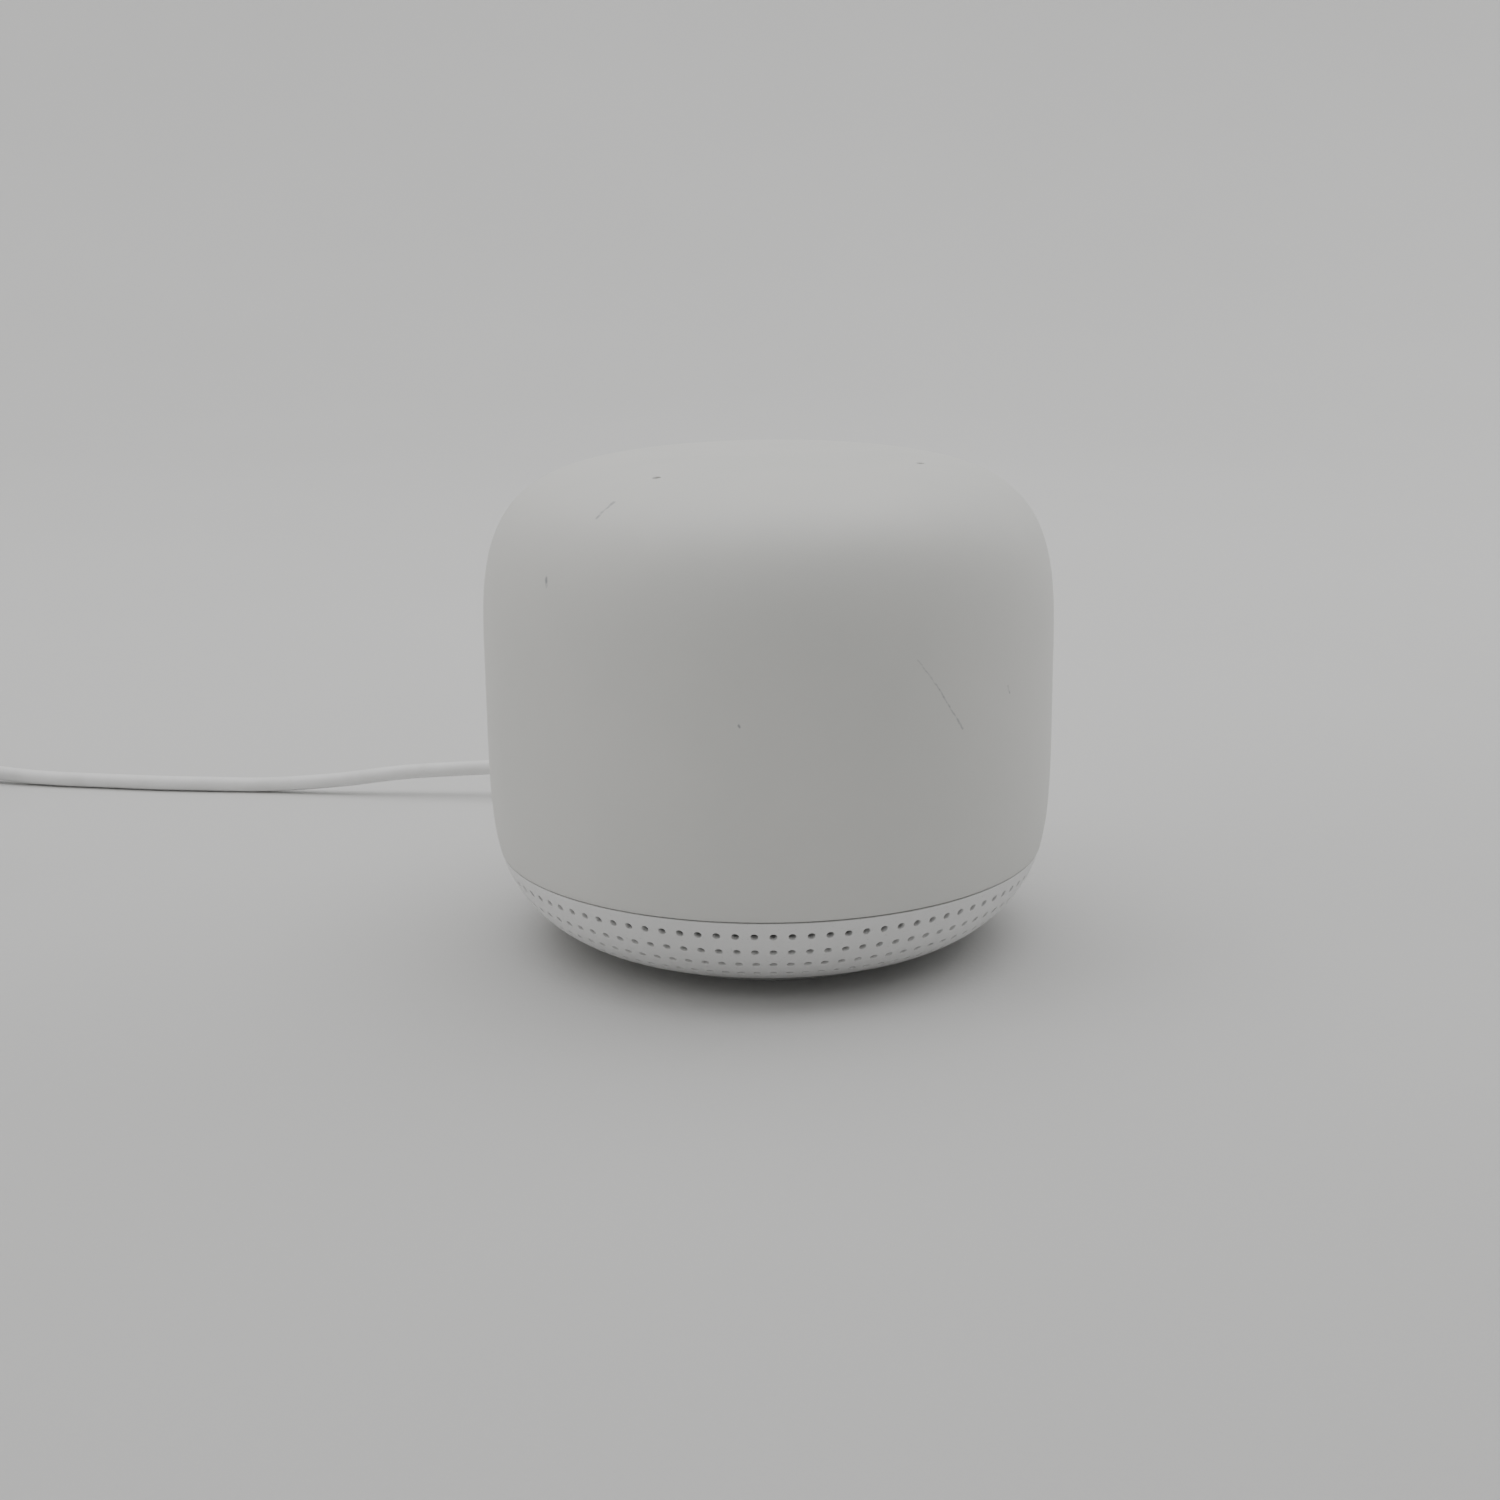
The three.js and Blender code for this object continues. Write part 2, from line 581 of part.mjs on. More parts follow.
function dustCap() {
  const rim = coilOuter - 0.1;
  const sag = (t) => 2.6 * Math.sqrt(1 - t * t * 0.999);
  const dome = (r, z) => [1, 0.8, 0.55, 0.28, 0].map((t) => P(r * t, z - sag(t)));
  return turn([...dome(rim, 4.6), ...dome(rim - 0.5, 5.1).reverse()]);
}

const plateBottom = DRIVER.depth + GAP;
const magnetZ = plateBottom + METAL_T + GAP;
const yokeZ = magnetZ + MAGNET_H + GAP;
const magnet = ring(coilOuter + 1.7, DRIVER.plate, magnetZ, magnetZ + MAGNET_H);
const frontPlate = ring(coilOuter + DRIVER_GAP, DRIVER.plate, plateBottom, plateBottom + METAL_T);

function polePiece() {
  return turn([
    P(0, plateBottom),
    P(DRIVER.pole, plateBottom),
    P(DRIVER.pole, yokeZ),
    P(DRIVER.plate, yokeZ),
    P(DRIVER.plate, yokeZ + METAL_T),
    P(0, yokeZ + METAL_T),
  ]);
}

const speaker = group(
  piece("speaker_basket", speakerBasket(), COLOUR.steel, 0.5, 0.8),
  piece("speaker_surround", speakerSurround(), COLOUR.black, 0.8),
  piece("speaker_cone", speakerCone(), COLOUR.paper, 0.85),
  piece("dust_cap", dustCap(), COLOUR.paper, 0.7),
  piece("voice_coil", ring(coilInner, coilOuter, 5.4, DRIVER.depth + 4), COLOUR.copper, 0.4, 0.8),
  piece("speaker_spider", ring(coilOuter + GAP, 15.2, 7, 7.6), COLOUR.gold, 0.9),
  piece("front_plate", frontPlate, COLOUR.steel, 0.4, 0.9),
  piece("speaker_magnet", magnet, COLOUR.black, 0.5, 0.3),
  piece("pole_piece", polePiece(), COLOUR.steel, 0.4, 0.9),
);
speaker.position.z = driverZ;

const gasketZ = baffleTop + GAP;
const gasket = ring(DRIVER.throat + 0.4, DRIVER.flange, gasketZ, gasketZ + GASKET_T);
const acoustics = group(
  piece("speaker_chamber", speakerChamber(), COLOUR.black, 0.7),
  piece("chamber_lid", ring(2, carrierR, lidZ, lidTop, 32), COLOUR.black, 0.7),
  piece("speaker_gasket", gasket, COLOUR.foam, 0.95),
  piece("sound_deflector", soundDeflector(), COLOUR.black, 0.7),
  speaker,
);

// ---------------------------------------------------------------- electronics
function heatSink() {
  const radius = chamberR - 1;
  const { plate, fins, finPitch, finT } = HEAT_SINK;
  const slots = [];
  for (let y = finT - radius; y < radius; y += finPitch) {
    const end = Math.min(y + finPitch - finT, radius + 1);
    slots.push(block(-radius - 1, radius + 1, y, end, sinkZ - 1, sinkTop - plate));
  }
  return cut(disc(radius, sinkZ, sinkZ + fins + plate, 32), ...slots);
}

/** Pressed steel lid over the radio chips, open below. */
const shieldCan = (w, d) => {
  const z = mainBoardTop + GAP;
  const box = (inset, z0, z1) => block(inset - w / 2, w / 2 - inset, inset - d / 2, d / 2 - inset, z0, z1);
  return cut(box(0, z, z + 2.5), box(0.4, z - 1, z + 2.1));
};

function antennaCarrier() {
  const outer = carrierR;
  const inner = outer - CARRIER_WALL;
  const neck = touchR + 1;
  const shoulder = mainBoardTop + 7;
  const outline = [
    P(inner, sinkZ),
    P(outer, sinkZ),
    P(outer, shoulder),
    P(neck, carrierTop),
    P(neck - 3.5, carrierTop),
    P(neck - 3.5, carrierTop - 1.3),
    P(neck - 1, carrierTop - 1.3),
    P(inner, shoulder - 0.5),
  ];
  const windows = [0, 1, 2].map((i) =>
    block(-outer - 2, outer + 2, -5, 5, shoulder + 2, carrierTop - 3).rotateZ(SPOKE(i, 6, Math.PI / 12)),
  );
  return cut(turn(outline, 36), ...windows);
}

function touchBoard() {
  return disc(touchR, touchZ, touchZ + 1, 32);
}

function ribbonCable() {
  const z0 = mainBoardTop + GAP;
  const z1 = touchZ - GAP;
  const lean = (t) => -24 - 3 * Math.sin(Math.PI * t);
  const steps = [0, 0.2, 0.4, 0.6, 0.8, 1];
  const front = steps.map((t) => P(lean(t), z0 + (z1 - z0) * t));
  const back = steps.map((t) => P(lean(t) + 0.5, z0 + (z1 - z0) * t)).reverse();
  const width = 8;
  const section = new THREE.Shape([...front, ...back]);
  return new THREE.ExtrudeGeometry(section, { depth: width, bevelEnabled: false })
    .rotateX(Math.PI / 2)
    .translate(0, width / 2, 0);
}

const boardY = bodyRadius(SWITCH.z, SHELL_WALL) - 7.8;
function micSwitchSlider() {
  const { z, knobW, knobH, proud } = SWITCH;
  const back = boardY + 4.9;
  const face = bodyRadius(z) + proud;
  const apron = knobW / 2 + SWITCH.travel + SLIDE_GAP + SWITCH.lap; // shuts the slot at both ends
  return join(
    block(-knobW / 2, knobW / 2, back, face, z - knobH / 2, z + knobH / 2),
    block(-apron, apron, back, back + 0.9, z - knobH / 2 - 1.2, z + knobH / 2 + 1.2),
  ).translate(-SWITCH.travel / 2, 0, 0); // it rests at the end where the microphones are on
}

const switchTop = SWITCH.z + 7;
const boardHalf = SWITCH.boardW / 2;
const switchBoard = block(-boardHalf, boardHalf, boardY, boardY + 1, baffleTop + GAP, switchTop);
const switchY = boardY + 1 + GAP;
const switchBody = block(-4.2, 4.2, switchY, boardY + 4.6, SWITCH.z - 2.2, SWITCH.z + 2.2);
const mainBoardR = carrierR - CARRIER_WALL - 2 * GAP;
const electronics = group(
  piece("heat_sink", heatSink(), COLOUR.aluminium, 0.4, 0.9),
  piece("thermal_pad", block(-10, 10, -10, 10, padZ, padZ + PAD_T), COLOUR.rubber, 0.9),
  piece("processor", block(-8, 8, -8, 8, chipZ, chipZ + CHIP_T), COLOUR.black, 0.5),
  piece("main_board", disc(mainBoardR, mainBoardZ, mainBoardTop, 32), COLOUR.board, 0.5),
  piece("shield_can_1", shieldCan(26, 20).translate(6, -14, 0), COLOUR.steel, 0.3, 0.9),
  piece("shield_can_2", shieldCan(22, 18).translate(6, 14, 0), COLOUR.steel, 0.3, 0.9),
  piece("antenna_carrier", antennaCarrier(), COLOUR.black, 0.7),
  piece("touch_board", touchBoard(), COLOUR.board, 0.5),
  piece("ribbon_cable", ribbonCable(), COLOUR.gold, 0.6),
  piece("switch_board", switchBoard, COLOUR.board, 0.5),
  piece("mic_switch_body", switchBody, COLOUR.black, 0.5),
  piece("mic_switch_slider", micSwitchSlider(), COLOUR.shell, 0.5),
);
for (let i = 0; i < ANTENNA.count; i++) {
  const plate = block(0, ANTENNA.thick, -ANTENNA.width / 2, ANTENNA.width / 2, 0, ANTENNA.height);
  const m = piece(`antenna_${i + 1}`, plate, COLOUR.gold, 0.4, 0.6);
  const a = SPOKE(i, ANTENNA.count, Math.PI / 6);
  const radius = carrierR + GAP + 0.1;
  m.position.set(radius * Math.cos(a), radius * Math.sin(a), sinkZ + 1);
  m.rotation.z = a;
  electronics.add(m);
}
micAngles.forEach((a, i) => {
  const can = new THREE.BoxGeometry(MIC.depth, MIC.width, MIC.height);
  const m = piece(`microphone_${i + 1}`, can, COLOUR.steel, 0.35, 0.9);
  m.position.set(MIC.ring * Math.cos(a), MIC.ring * Math.sin(a), touchZ + 1 + GAP + MIC.height / 2);
  m.rotation.z = a;
  electronics.add(m);
});

// ---------------------------------------------------------------- power jack and lead
function dcJack() {
  const { width, height, length } = JACK_BODY;
  const w = width / 2;
  const h = height / 2;
  const socket = barY(BARREL_R + GAP, BARREL_R + GAP, jackFront - 10.5, jackFront + 1, 16);
  return cut(block(-w, w, jackFront - length, jackFront, -h, h), socket).translate(0, 0, JACK_Z);
}

const jack = piece("dc_jack", dcJack(), COLOUR.black, 0.5);

const gripStart = portFace + 0.6;
const gripEnd = gripStart + PLUG.gripL;
const plugRelief = gripEnd + GAP;
const barrel = barY(BARREL_R, BARREL_R, jackFront - 9.6, jackFront + 0.4, 16);
const noseR = PORT.bore - SLIDE_GAP;
const plugNose = barY(noseR, noseR, jackFront + 0.7, gripStart + 1);
const plugBody = join(plugNose, barY(PLUG.grip, PLUG.grip, gripStart, gripEnd));
const relief = barY(RELIEF.base, RELIEF.tip, plugRelief, plugRelief + RELIEF.length);
const plug = group(
  piece("dc_plug_barrel", barrel, COLOUR.steel, 0.25, 1),
  piece("dc_plug_body", plugBody, COLOUR.white, 0.6),
  piece("plug_strain_relief", relief, COLOUR.white, 0.6),
);
plug.position.z = JACK_Z;

// Route of the cord from the plug to the coil, laid by hand: it drops to the floor and runs left.
const CORD_POINTS = [
  [0, 78, 11.3],
  [-1, 84.5, 10.6],
  [-5.5, 91, 9.6],
  [-13.5, 95.8, 8.6],
  [-22.5, 99, 7.7],
  [-32.2, 102.3, 6.8],
  [-51, 110, 5.3],
  [-65.2, 116, 3.2],
  [-80.7, 123, 1.7],
  [-93.5, 128.1, 1.7],
  [-104.2, 132.8, 1.7],
  [-114.8, 138.2, 1.7],
  [-123.4, 142.6, 1.7],
  [-129.9, 146.2, 1.8],
  [-136.4, 150.2, 2.1],
  [-146.7, 157.2, 2.7],
];

// Route from the coil's top layer to the adapter.
const ADAPTER_CORD_POINTS = [
  [-195.9, 131, 10.4],
  [-195.9, 127, 10.8],
  [-195.9, 123, 11.6],
  [-195.9, 119.6, 12.2],
];

function cordCoil() {
  const half = COIL.across * CORD_R;
  const inner = COIL.mid - half;
  const outer = COIL.mid + half;
  const top = COIL.lift + COIL.layers * 2 * CORD_R;
  const soft = CORD_R * 0.6;
  const outline = [
    P(inner + soft, COIL.lift),
    P(outer - soft, COIL.lift),
    P(outer, COIL.lift + soft),
    P(outer, top - soft),
    P(outer - soft, top),
    P(inner + soft, top),
    P(inner, top - soft),
    P(inner, COIL.lift + soft),
  ];
  return turn(outline, 32);
}

/** Band round the bundle of turns, at the coil's front. */
function cordTie() {
  const inner = COIL.mid - COIL.across * CORD_R;
  const y0 = -COIL.mid - COIL.across * CORD_R - GAP;
  const y1 = GAP - Math.sqrt(inner ** 2 - (TIE_W / 2) ** 2);
  const top = COIL.lift + COIL.layers * 2 * CORD_R + GAP;
  const band = block(-TIE_W / 2, TIE_W / 2, y0 - TIE_T, y1 + TIE_T, 0, top + TIE_T);
  return cut(band, block(-TIE_W, TIE_W, y0, y1, TIE_T, top));
}

const coil = group(
  piece("cord_coil", cordCoil(), COLOUR.white, 0.6),
  piece("cord_tie", cordTie(), COLOUR.black, 0.7),
);
coil.position.set(COIL.x, COIL.y, 0);

const adapterX = ADAPTER_CORD_POINTS[0][0];
const adapterTop = ADAPTER.body + GAP + ADAPTER.cover;
const adapterBack = ADAPTER.size / 2;
const reliefStart = adapterBack + GAP;
const reliefEnd = reliefStart + ADAPTER_RELIEF.length;
const box = roundedSquare(ADAPTER.size, ADAPTER.round);
const adapterRelief = barY(ADAPTER_RELIEF.base, ADAPTER_RELIEF.tip, reliefStart, reliefEnd);
const adapter = group(
  piece("adapter_body", slab(box, 0, ADAPTER.body), COLOUR.white, 0.5),
  piece("adapter_cover", slab(box, ADAPTER.body + GAP, adapterTop), COLOUR.white, 0.5),
  piece("adapter_strain_relief", adapterRelief.translate(0, 0, ADAPTER.body / 2), COLOUR.white, 0.6),
);
[-1, 1].forEach((side, i) => {
  const { width, thick, length, pitch } = BLADE;
  const shape = block(-thick / 2, thick / 2, -width / 2, width / 2, 0, length);
  const m = piece(`adapter_blade_${i + 1}`, shape, COLOUR.steel, 0.25, 1);
  m.position.set((side * pitch) / 2, 0, adapterTop + GAP);
  adapter.add(m);
});
adapter.position.set(adapterX, ADAPTER.y, 0);

const lead = group(
  plug,
  piece("power_cord", tube(CORD_POINTS, CORD_R, 34), COLOUR.white, 0.6),
  coil,
  piece("adapter_cord", tube(ADAPTER_CORD_POINTS, CORD_R, 4), COLOUR.white, 0.6),
  adapter,
);

export default group(casing, acoustics, electronics, jack, lead);
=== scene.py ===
import math
from functools import reduce

import bpy
import numpy as np
from mathutils import Matrix, Vector


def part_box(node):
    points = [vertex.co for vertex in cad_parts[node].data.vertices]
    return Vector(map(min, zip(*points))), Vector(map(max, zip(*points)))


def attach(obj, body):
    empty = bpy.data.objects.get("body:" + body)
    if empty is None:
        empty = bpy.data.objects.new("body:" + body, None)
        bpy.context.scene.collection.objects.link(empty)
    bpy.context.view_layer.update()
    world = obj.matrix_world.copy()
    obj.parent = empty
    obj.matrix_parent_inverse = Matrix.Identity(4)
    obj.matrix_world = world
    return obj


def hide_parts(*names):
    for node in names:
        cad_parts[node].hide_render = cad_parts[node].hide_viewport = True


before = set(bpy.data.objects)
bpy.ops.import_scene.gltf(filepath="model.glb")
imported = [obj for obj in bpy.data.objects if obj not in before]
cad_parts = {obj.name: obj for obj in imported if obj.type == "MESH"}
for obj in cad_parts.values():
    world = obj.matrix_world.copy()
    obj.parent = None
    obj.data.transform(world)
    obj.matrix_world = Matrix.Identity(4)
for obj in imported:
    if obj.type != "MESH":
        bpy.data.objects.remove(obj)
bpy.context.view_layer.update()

MM = 0.001

# -------------------- viewpoint and studio
# The router is seen from a little above, from the left of its front, standing on a pale matt
# sheet that sweeps up all round it. The light is broad and soft, from overhead and both sides.
scene = bpy.context.scene


def place(name, data):
    """Puts a new object with this data in the scene, at the origin."""
    made = bpy.data.objects.new(name, data)
    scene.collection.objects.link(made)
    return made


def stands_for(pieces, body, slot, *nodes):
    """Each piece rides this body and replaces these CAD nodes, if any; slot is not used."""
    for piece in pieces:
        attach(piece, body)
        if nodes:
            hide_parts(*nodes)


VIEW_TURN = math.radians(-17.3)
VIEW_AWAY, VIEW_HEIGHT = 412.47 * MM, 143.37 * MM
VIEW_PITCH, VIEW_YAW, VIEW_ROLL = math.radians(14.905), math.radians(-0.496), math.radians(-0.653)
viewpoint = bpy.data.cameras.new("viewpoint")
viewpoint.sensor_width = 36.0
viewpoint.lens = 55.98
viewpoint.clip_start = 0.01
camera = place("viewpoint", viewpoint)
camera.matrix_world = (
    Matrix.Rotation(VIEW_TURN, 4, "Z")
    @ Matrix.Translation((0, -VIEW_AWAY, VIEW_HEIGHT))
    @ Matrix.Rotation(-VIEW_YAW, 4, "Z")
    @ Matrix.Rotation(math.radians(90) - VIEW_PITCH, 4, "X")
    @ Matrix.Rotation(VIEW_ROLL, 4, "Z")
)
scene.camera = camera


def mesh_object(name, points, faces):
    """A mesh object from an array of points, in metres, and arrays of faces."""
    data = bpy.data.meshes.new(name)
    data.from_pydata(points.reshape(-1, 3), [], [f for block in faces for f in block.tolist()])
    data.validate()
    data.polygons.foreach_set("use_smooth", np.full(len(data.polygons), True))
    return place(name, data)


def grid_faces(index, wrap_rows=False):
    """Quads between neighbours of a grid of point numbers. The last column joins the first, and
    so does the last row where it wraps."""
    if wrap_rows:
        index = np.concatenate([index, index[:1]])
    index = np.concatenate([index, index[:, :1]], axis=1)
    corners = index[:-1, :-1], index[:-1, 1:], index[1:, 1:], index[1:, :-1]
    return np.stack(corners, -1).reshape(-1, 4)


def pole_fans(index, first):
    """Triangles that close a grid's end rows at two poles, whose numbers start at `first`."""
    after = np.roll(index, -1, axis=1)
    low, high = (np.full(index.shape[1], first + end) for end in (0, 1))
    return [np.stack([low, after[0], index[0]], -1), np.stack([high, index[-1], after[-1]], -1)]


def turned(name, outline, columns=96, centre=(0, 0, 0), along_y=False):
    """A closed solid of revolution: radius and height along the outline, in mm, swept about Z,
    or about Y where it is laid down. The outline runs up the outside and down the inside. If it
    starts and ends on the axis it closes at poles; any other outline closes on itself."""
    r, z = np.asarray(outline, float).T * MM
    angle = np.linspace(0, 2 * np.pi, columns, endpoint=False)
    on_axis = r[0] < 1e-9 and r[-1] < 1e-9
    inner = slice(1, -1) if on_axis else slice(None)
    ring_r, ring_z = r[inner], z[inner]
    x = np.outer(ring_r, np.cos(angle))
    y = np.outer(ring_r, np.sin(angle))
    points = np.stack([x, y, np.repeat(ring_z[:, None], columns, 1)], -1).reshape(-1, 3)
    index = np.arange(len(points)).reshape(-1, columns)
    faces = [grid_faces(index, wrap_rows=not on_axis)]
    if on_axis:
        faces += pole_fans(index, len(points))
        points = np.concatenate([points, [[0, 0, z[0]], [0, 0, z[-1]]]])
    if along_y:
        points = np.stack([points[:, 0], points[:, 2], -points[:, 1]], -1)
    return mesh_object(name, points + np.array(centre) * MM, faces)


SHEET_FLAT, SHEET_BEND, SHEET_TOP = 700, 900, 1500  # flat radius, bend radius, height, mm
SHEET_BACK, SHEET_WALL, SHEET_CENTRE = -30, 40, 120  # its underside, its wall, its middle ring
bend = np.linspace(0, np.pi / 2, 12)
wall_r = SHEET_FLAT + SHEET_BEND
sheet_profile = np.concatenate([
    [[0, SHEET_BACK], [wall_r + SHEET_WALL, SHEET_BACK]],
    [[wall_r + SHEET_WALL, SHEET_TOP], [wall_r, SHEET_TOP]],
    np.stack([SHEET_FLAT + SHEET_BEND * np.sin(bend), SHEET_BEND * (1 - np.cos(bend))], -1)[::-1],
    np.stack([np.linspace(SHEET_FLAT, SHEET_CENTRE, 8)[1:], np.zeros(7)], -1),
    [[0, 0]],
])
floor = turned("studio_sheet", sheet_profile, columns=128)


class Wire:
    """An output inside a finish's node tree. Arithmetic on it adds Math nodes."""

    def __init__(self, finish, socket):
        self.finish, self.socket = finish, socket

    def _maths(self, operation, *values):
        return self.finish.node("ShaderNodeMath", {"operation": operation}, dict(enumerate(values)))

    def __add__(self, other):
        return self._maths("ADD", self, other)

    def __mul__(self, other):
        return self._maths("MULTIPLY", self, other)

    def low(self, other):
        return self._maths("MINIMUM", self, other)

    def high(self, other):
        return self._maths("MAXIMUM", self, other)

    def between(self, start, end, low=0.0, high=1.0):
        """Runs smoothly from low to high as this value runs from start to end."""
        values = {"Value": self, "From Min": start, "From Max": end, "To Min": low, "To Max": high}
        return self.finish.node("ShaderNodeMapRange", {"interpolation_type": "SMOOTHSTEP"}, values)


class Finish:
    """A material: its nodes are made by one method, and its shader's constants are set here."""

    def __init__(self, name, color=(0.8, 0.8, 0.8), roughness=0.5, **constants):
        self.material = bpy.data.materials.new(name)
        self.material.use_nodes = True
        self.tree = self.material.node_tree
        self.shader = self.tree.nodes["Principled BSDF"]
        self.surface(Base_Color=color, Roughness=roughness, **constants)

    def feed(self, node, values):
        """Links each value that is a wire to its socket, and sets the others."""
        for key, value in values.items():
            socket = node.inputs[key]
            if isinstance(value, Wire):
                self.tree.links.new(value.socket, socket)
            elif socket.type == "RGBA" and len(value) == 3:
                socket.default_value = (*value, 1.0)
            else:
                socket.default_value = value

    def node(self, kind, settings=None, values=None, output=0):
        """A new node with these settings and inputs; gives one of its outputs."""
        made = self.tree.nodes.new(kind)
        for key, value in (settings or {}).items():
            setattr(made, key, value)
        self.feed(made, values or {})
        return Wire(self, made.outputs[output])

    def where(self):
        """Object coordinates, in metres."""
        return self.node("ShaderNodeTexCoord", output="Object")

    def stretched(self, x, y, z):
        """Object coordinates, each multiplied by its own factor."""
        return self.vector("MULTIPLY", self.where(), (x, y, z))

    def vector(self, operation, first, second, output=0):
        """Maths on two vectors. Output 0 is a vector, and 1 a number."""
        settings = {"operation": operation}
        return self.node("ShaderNodeVectorMath", settings, {0: first, 1: second}, output)

    def scaled(self, vector, factor):
        """A vector times a number."""
        settings = {"operation": "SCALE"}
        return self.node("ShaderNodeVectorMath", settings, {0: vector, "Scale": factor})

    def texture(self, kind, scale, output, settings=None, at=None, **values):
        """A texture of this kind in object coordinates; scale is features per metre."""
        values = {"Vector": at or self.where(), "Scale": scale, **values}
        return self.node(f"ShaderNodeTex{kind}", settings, values, output)

    def noise(self, scale, detail=2.0, roughness=0.5, at=None):
        """Cloudy noise between 0 and 1."""
        return self.texture("Noise", scale, "Fac", at=at, Detail=detail, Roughness=roughness)

    def waves(self, axis, scale):
        """Parallel bands across an axis, between 0 and 1."""
        return self.texture("Wave", scale, "Fac", {"bands_direction": axis})

    def mix(self, factor, low, high):
        """Mixes two colours by a factor."""
        settings = {"data_type": "RGBA"}
        return self.node("ShaderNodeMix", settings, {0: factor, 6: low, 7: high}, output=2)

    def bump(self, height, distance, strength=1.0, below=None):
        """A normal tilted by a height of up to `distance` metres, over the one below."""
        values = {"Height": height, "Distance": distance, "Strength": strength}
        if below:
            values["Normal"] = below
        return self.node("ShaderNodeBump", {}, values)

    def surface(self, **values):
        """Feeds the shader's inputs, named with _ for a space."""
        self.feed(self.shader, {key.replace("_", " "): value for key, value in values.items()})

    def look(self, color, rough, relief):
        """Colour as mix(*color), roughness, and a normal as bump(*relief)."""
        self.surface(Base_Color=self.mix(*color), Roughness=rough, Normal=self.bump(*relief))

    def on(self, *objects):
        """Puts this material, and no other, on each object."""
        for each in objects:
            each.data.materials.clear()
            each.data.materials.append(self.material)


paper = Finish("studio_paper", color=(0.62, 0.62, 0.61), roughness=0.9, Specular_IOR_Level=0.1)
paper.surface(
    Base_Color=paper.mix(paper.noise(6), (0.602, 0.602, 0.594), (0.632, 0.632, 0.625)),
    Normal=paper.bump(paper.noise(900, detail=3), 0.00004),
)
paper.on(floor)


def area_light(name, at, towards, size, power, color=(1, 1, 1)):
    """A square soft light at a point in metres, facing another."""
    lamp = bpy.data.lights.new(name, "AREA")
    lamp.size, lamp.energy, lamp.color = size, power, color
    made = place(name, lamp)
    away = Vector(at) - Vector(towards)
    made.matrix_world = Matrix.Translation(at) @ away.to_track_quat("Z", "Y").to_matrix().to_4x4()


HEART = (0, 0, 0.05)
area_light("overhead", (0.05, 0.3, 1.35), (0, 0.1, 0), 1.7, 12)
area_light("right_side", (1.1, 0.25, 0.55), HEART, 0.8, 2.35, (0.98, 0.99, 1.0))
area_light("left_side", (-1.1, 0.1, 0.55), HEART, 0.8, 1.95, (1.0, 0.99, 0.97))
area_light("on_the_sweep", (0.2, 0.2, 1.2), (0.55, 1.6, 0.5), 1.6, 5.0)
world = bpy.data.worlds.new("studio_air")
world.use_nodes = True
air = world.node_tree.nodes["Background"].inputs
air["Color"].default_value = (0.97, 0.96, 0.97, 1.0)
air["Strength"].default_value = 0.49
scene.world = world

# -------------------- power lead
# A 3.2 mm two-core cord in a soft white jacket, 1.8 m long. It leaves the plug at the back,
# drops to the floor and runs left; the rest is coiled, held by a tie, and ends at the adapter.
CORD_R = 1.6
CORD_RUN = [  # route from the plug to the coil, mm
    (0, 78, 11.3), (-1, 84.5, 10.6), (-5.5, 91, 9.6), (-13.5, 95.8, 8.6), (-22.5, 99, 7.7),
    (-32.2, 102.3, 6.8), (-51, 110, 5.3), (-65.2, 116, 3.2), (-80.7, 123, 1.7),
    (-93.5, 128.1, 1.7), (-104.2, 132.8, 1.7), (-114.8, 138.2, 1.7), (-123.4, 142.6, 1.7),
    (-129.9, 146.2, 1.8), (-136.4, 150.2, 2.1), (-146.7, 157.2, 2.7),
]
ADAPTER_RUN = [  # on to the adapter; the last two points are inside its sleeve
    (-195.9, 131, 10.4), (-195.9, 127, 10.8), (-195.9, 123, 11.6), (-195.9, 119.6, 12.2),
    (-195.9, 115, 12.45), (-195.9, 110, 12.5),
]
COIL_AT, COIL_MID, COIL_LIFT = (-171.5, 144.7), 18.0, 1.3  # centre, mean radius, height, mm
LINE_STEP = 2.0  # between points of the cord's middle line, mm
OUTER_COLUMN, MIDDLE_COLUMN = 4, 2
COIL_COLUMNS = [4, 3, 2, 1, 0, 0, 1, 2, 3, 4, 4, 3, 2, 2]  # column of each turn
COIL_LAYERS = [0, 0, 0, 0, 0, 1, 1, 1, 1, 1, 2, 2, 2, 2]
COIL_IN, COIL_OUT = 56.5, 180.0  # degrees round the coil where the cord joins and leaves


def smooth_line(points):
    """Catmull-Rom curve through the points, sampled about every LINE_STEP: each span is the
    cubic whose end slopes are half the chord between the neighbours on either side."""
    p = np.asarray(points, float)
    p = np.concatenate([[2 * p[0] - p[1]], p, [2 * p[-1] - p[-2]]])
    spans = []
    for a, b, c, d in zip(p[:-3], p[1:-2], p[2:-1], p[3:]):
        samples = max(2, int(np.linalg.norm(c - b) / LINE_STEP))
        t = np.linspace(0, 1, samples, endpoint=False)[:, None]
        cubic = 2 * a - 5 * b + 4 * c - d + t * (3 * (b - c) + d - a)
        spans.append(b + 0.5 * t * (c - a + t * cubic))
    return np.concatenate([*spans, p[-2:-1]])


def eased(x):
    """0 below 0, 1 above 1, and a smooth S between."""
    x = np.clip(x, 0, 1)
    return x * x * (3 - 2 * x)


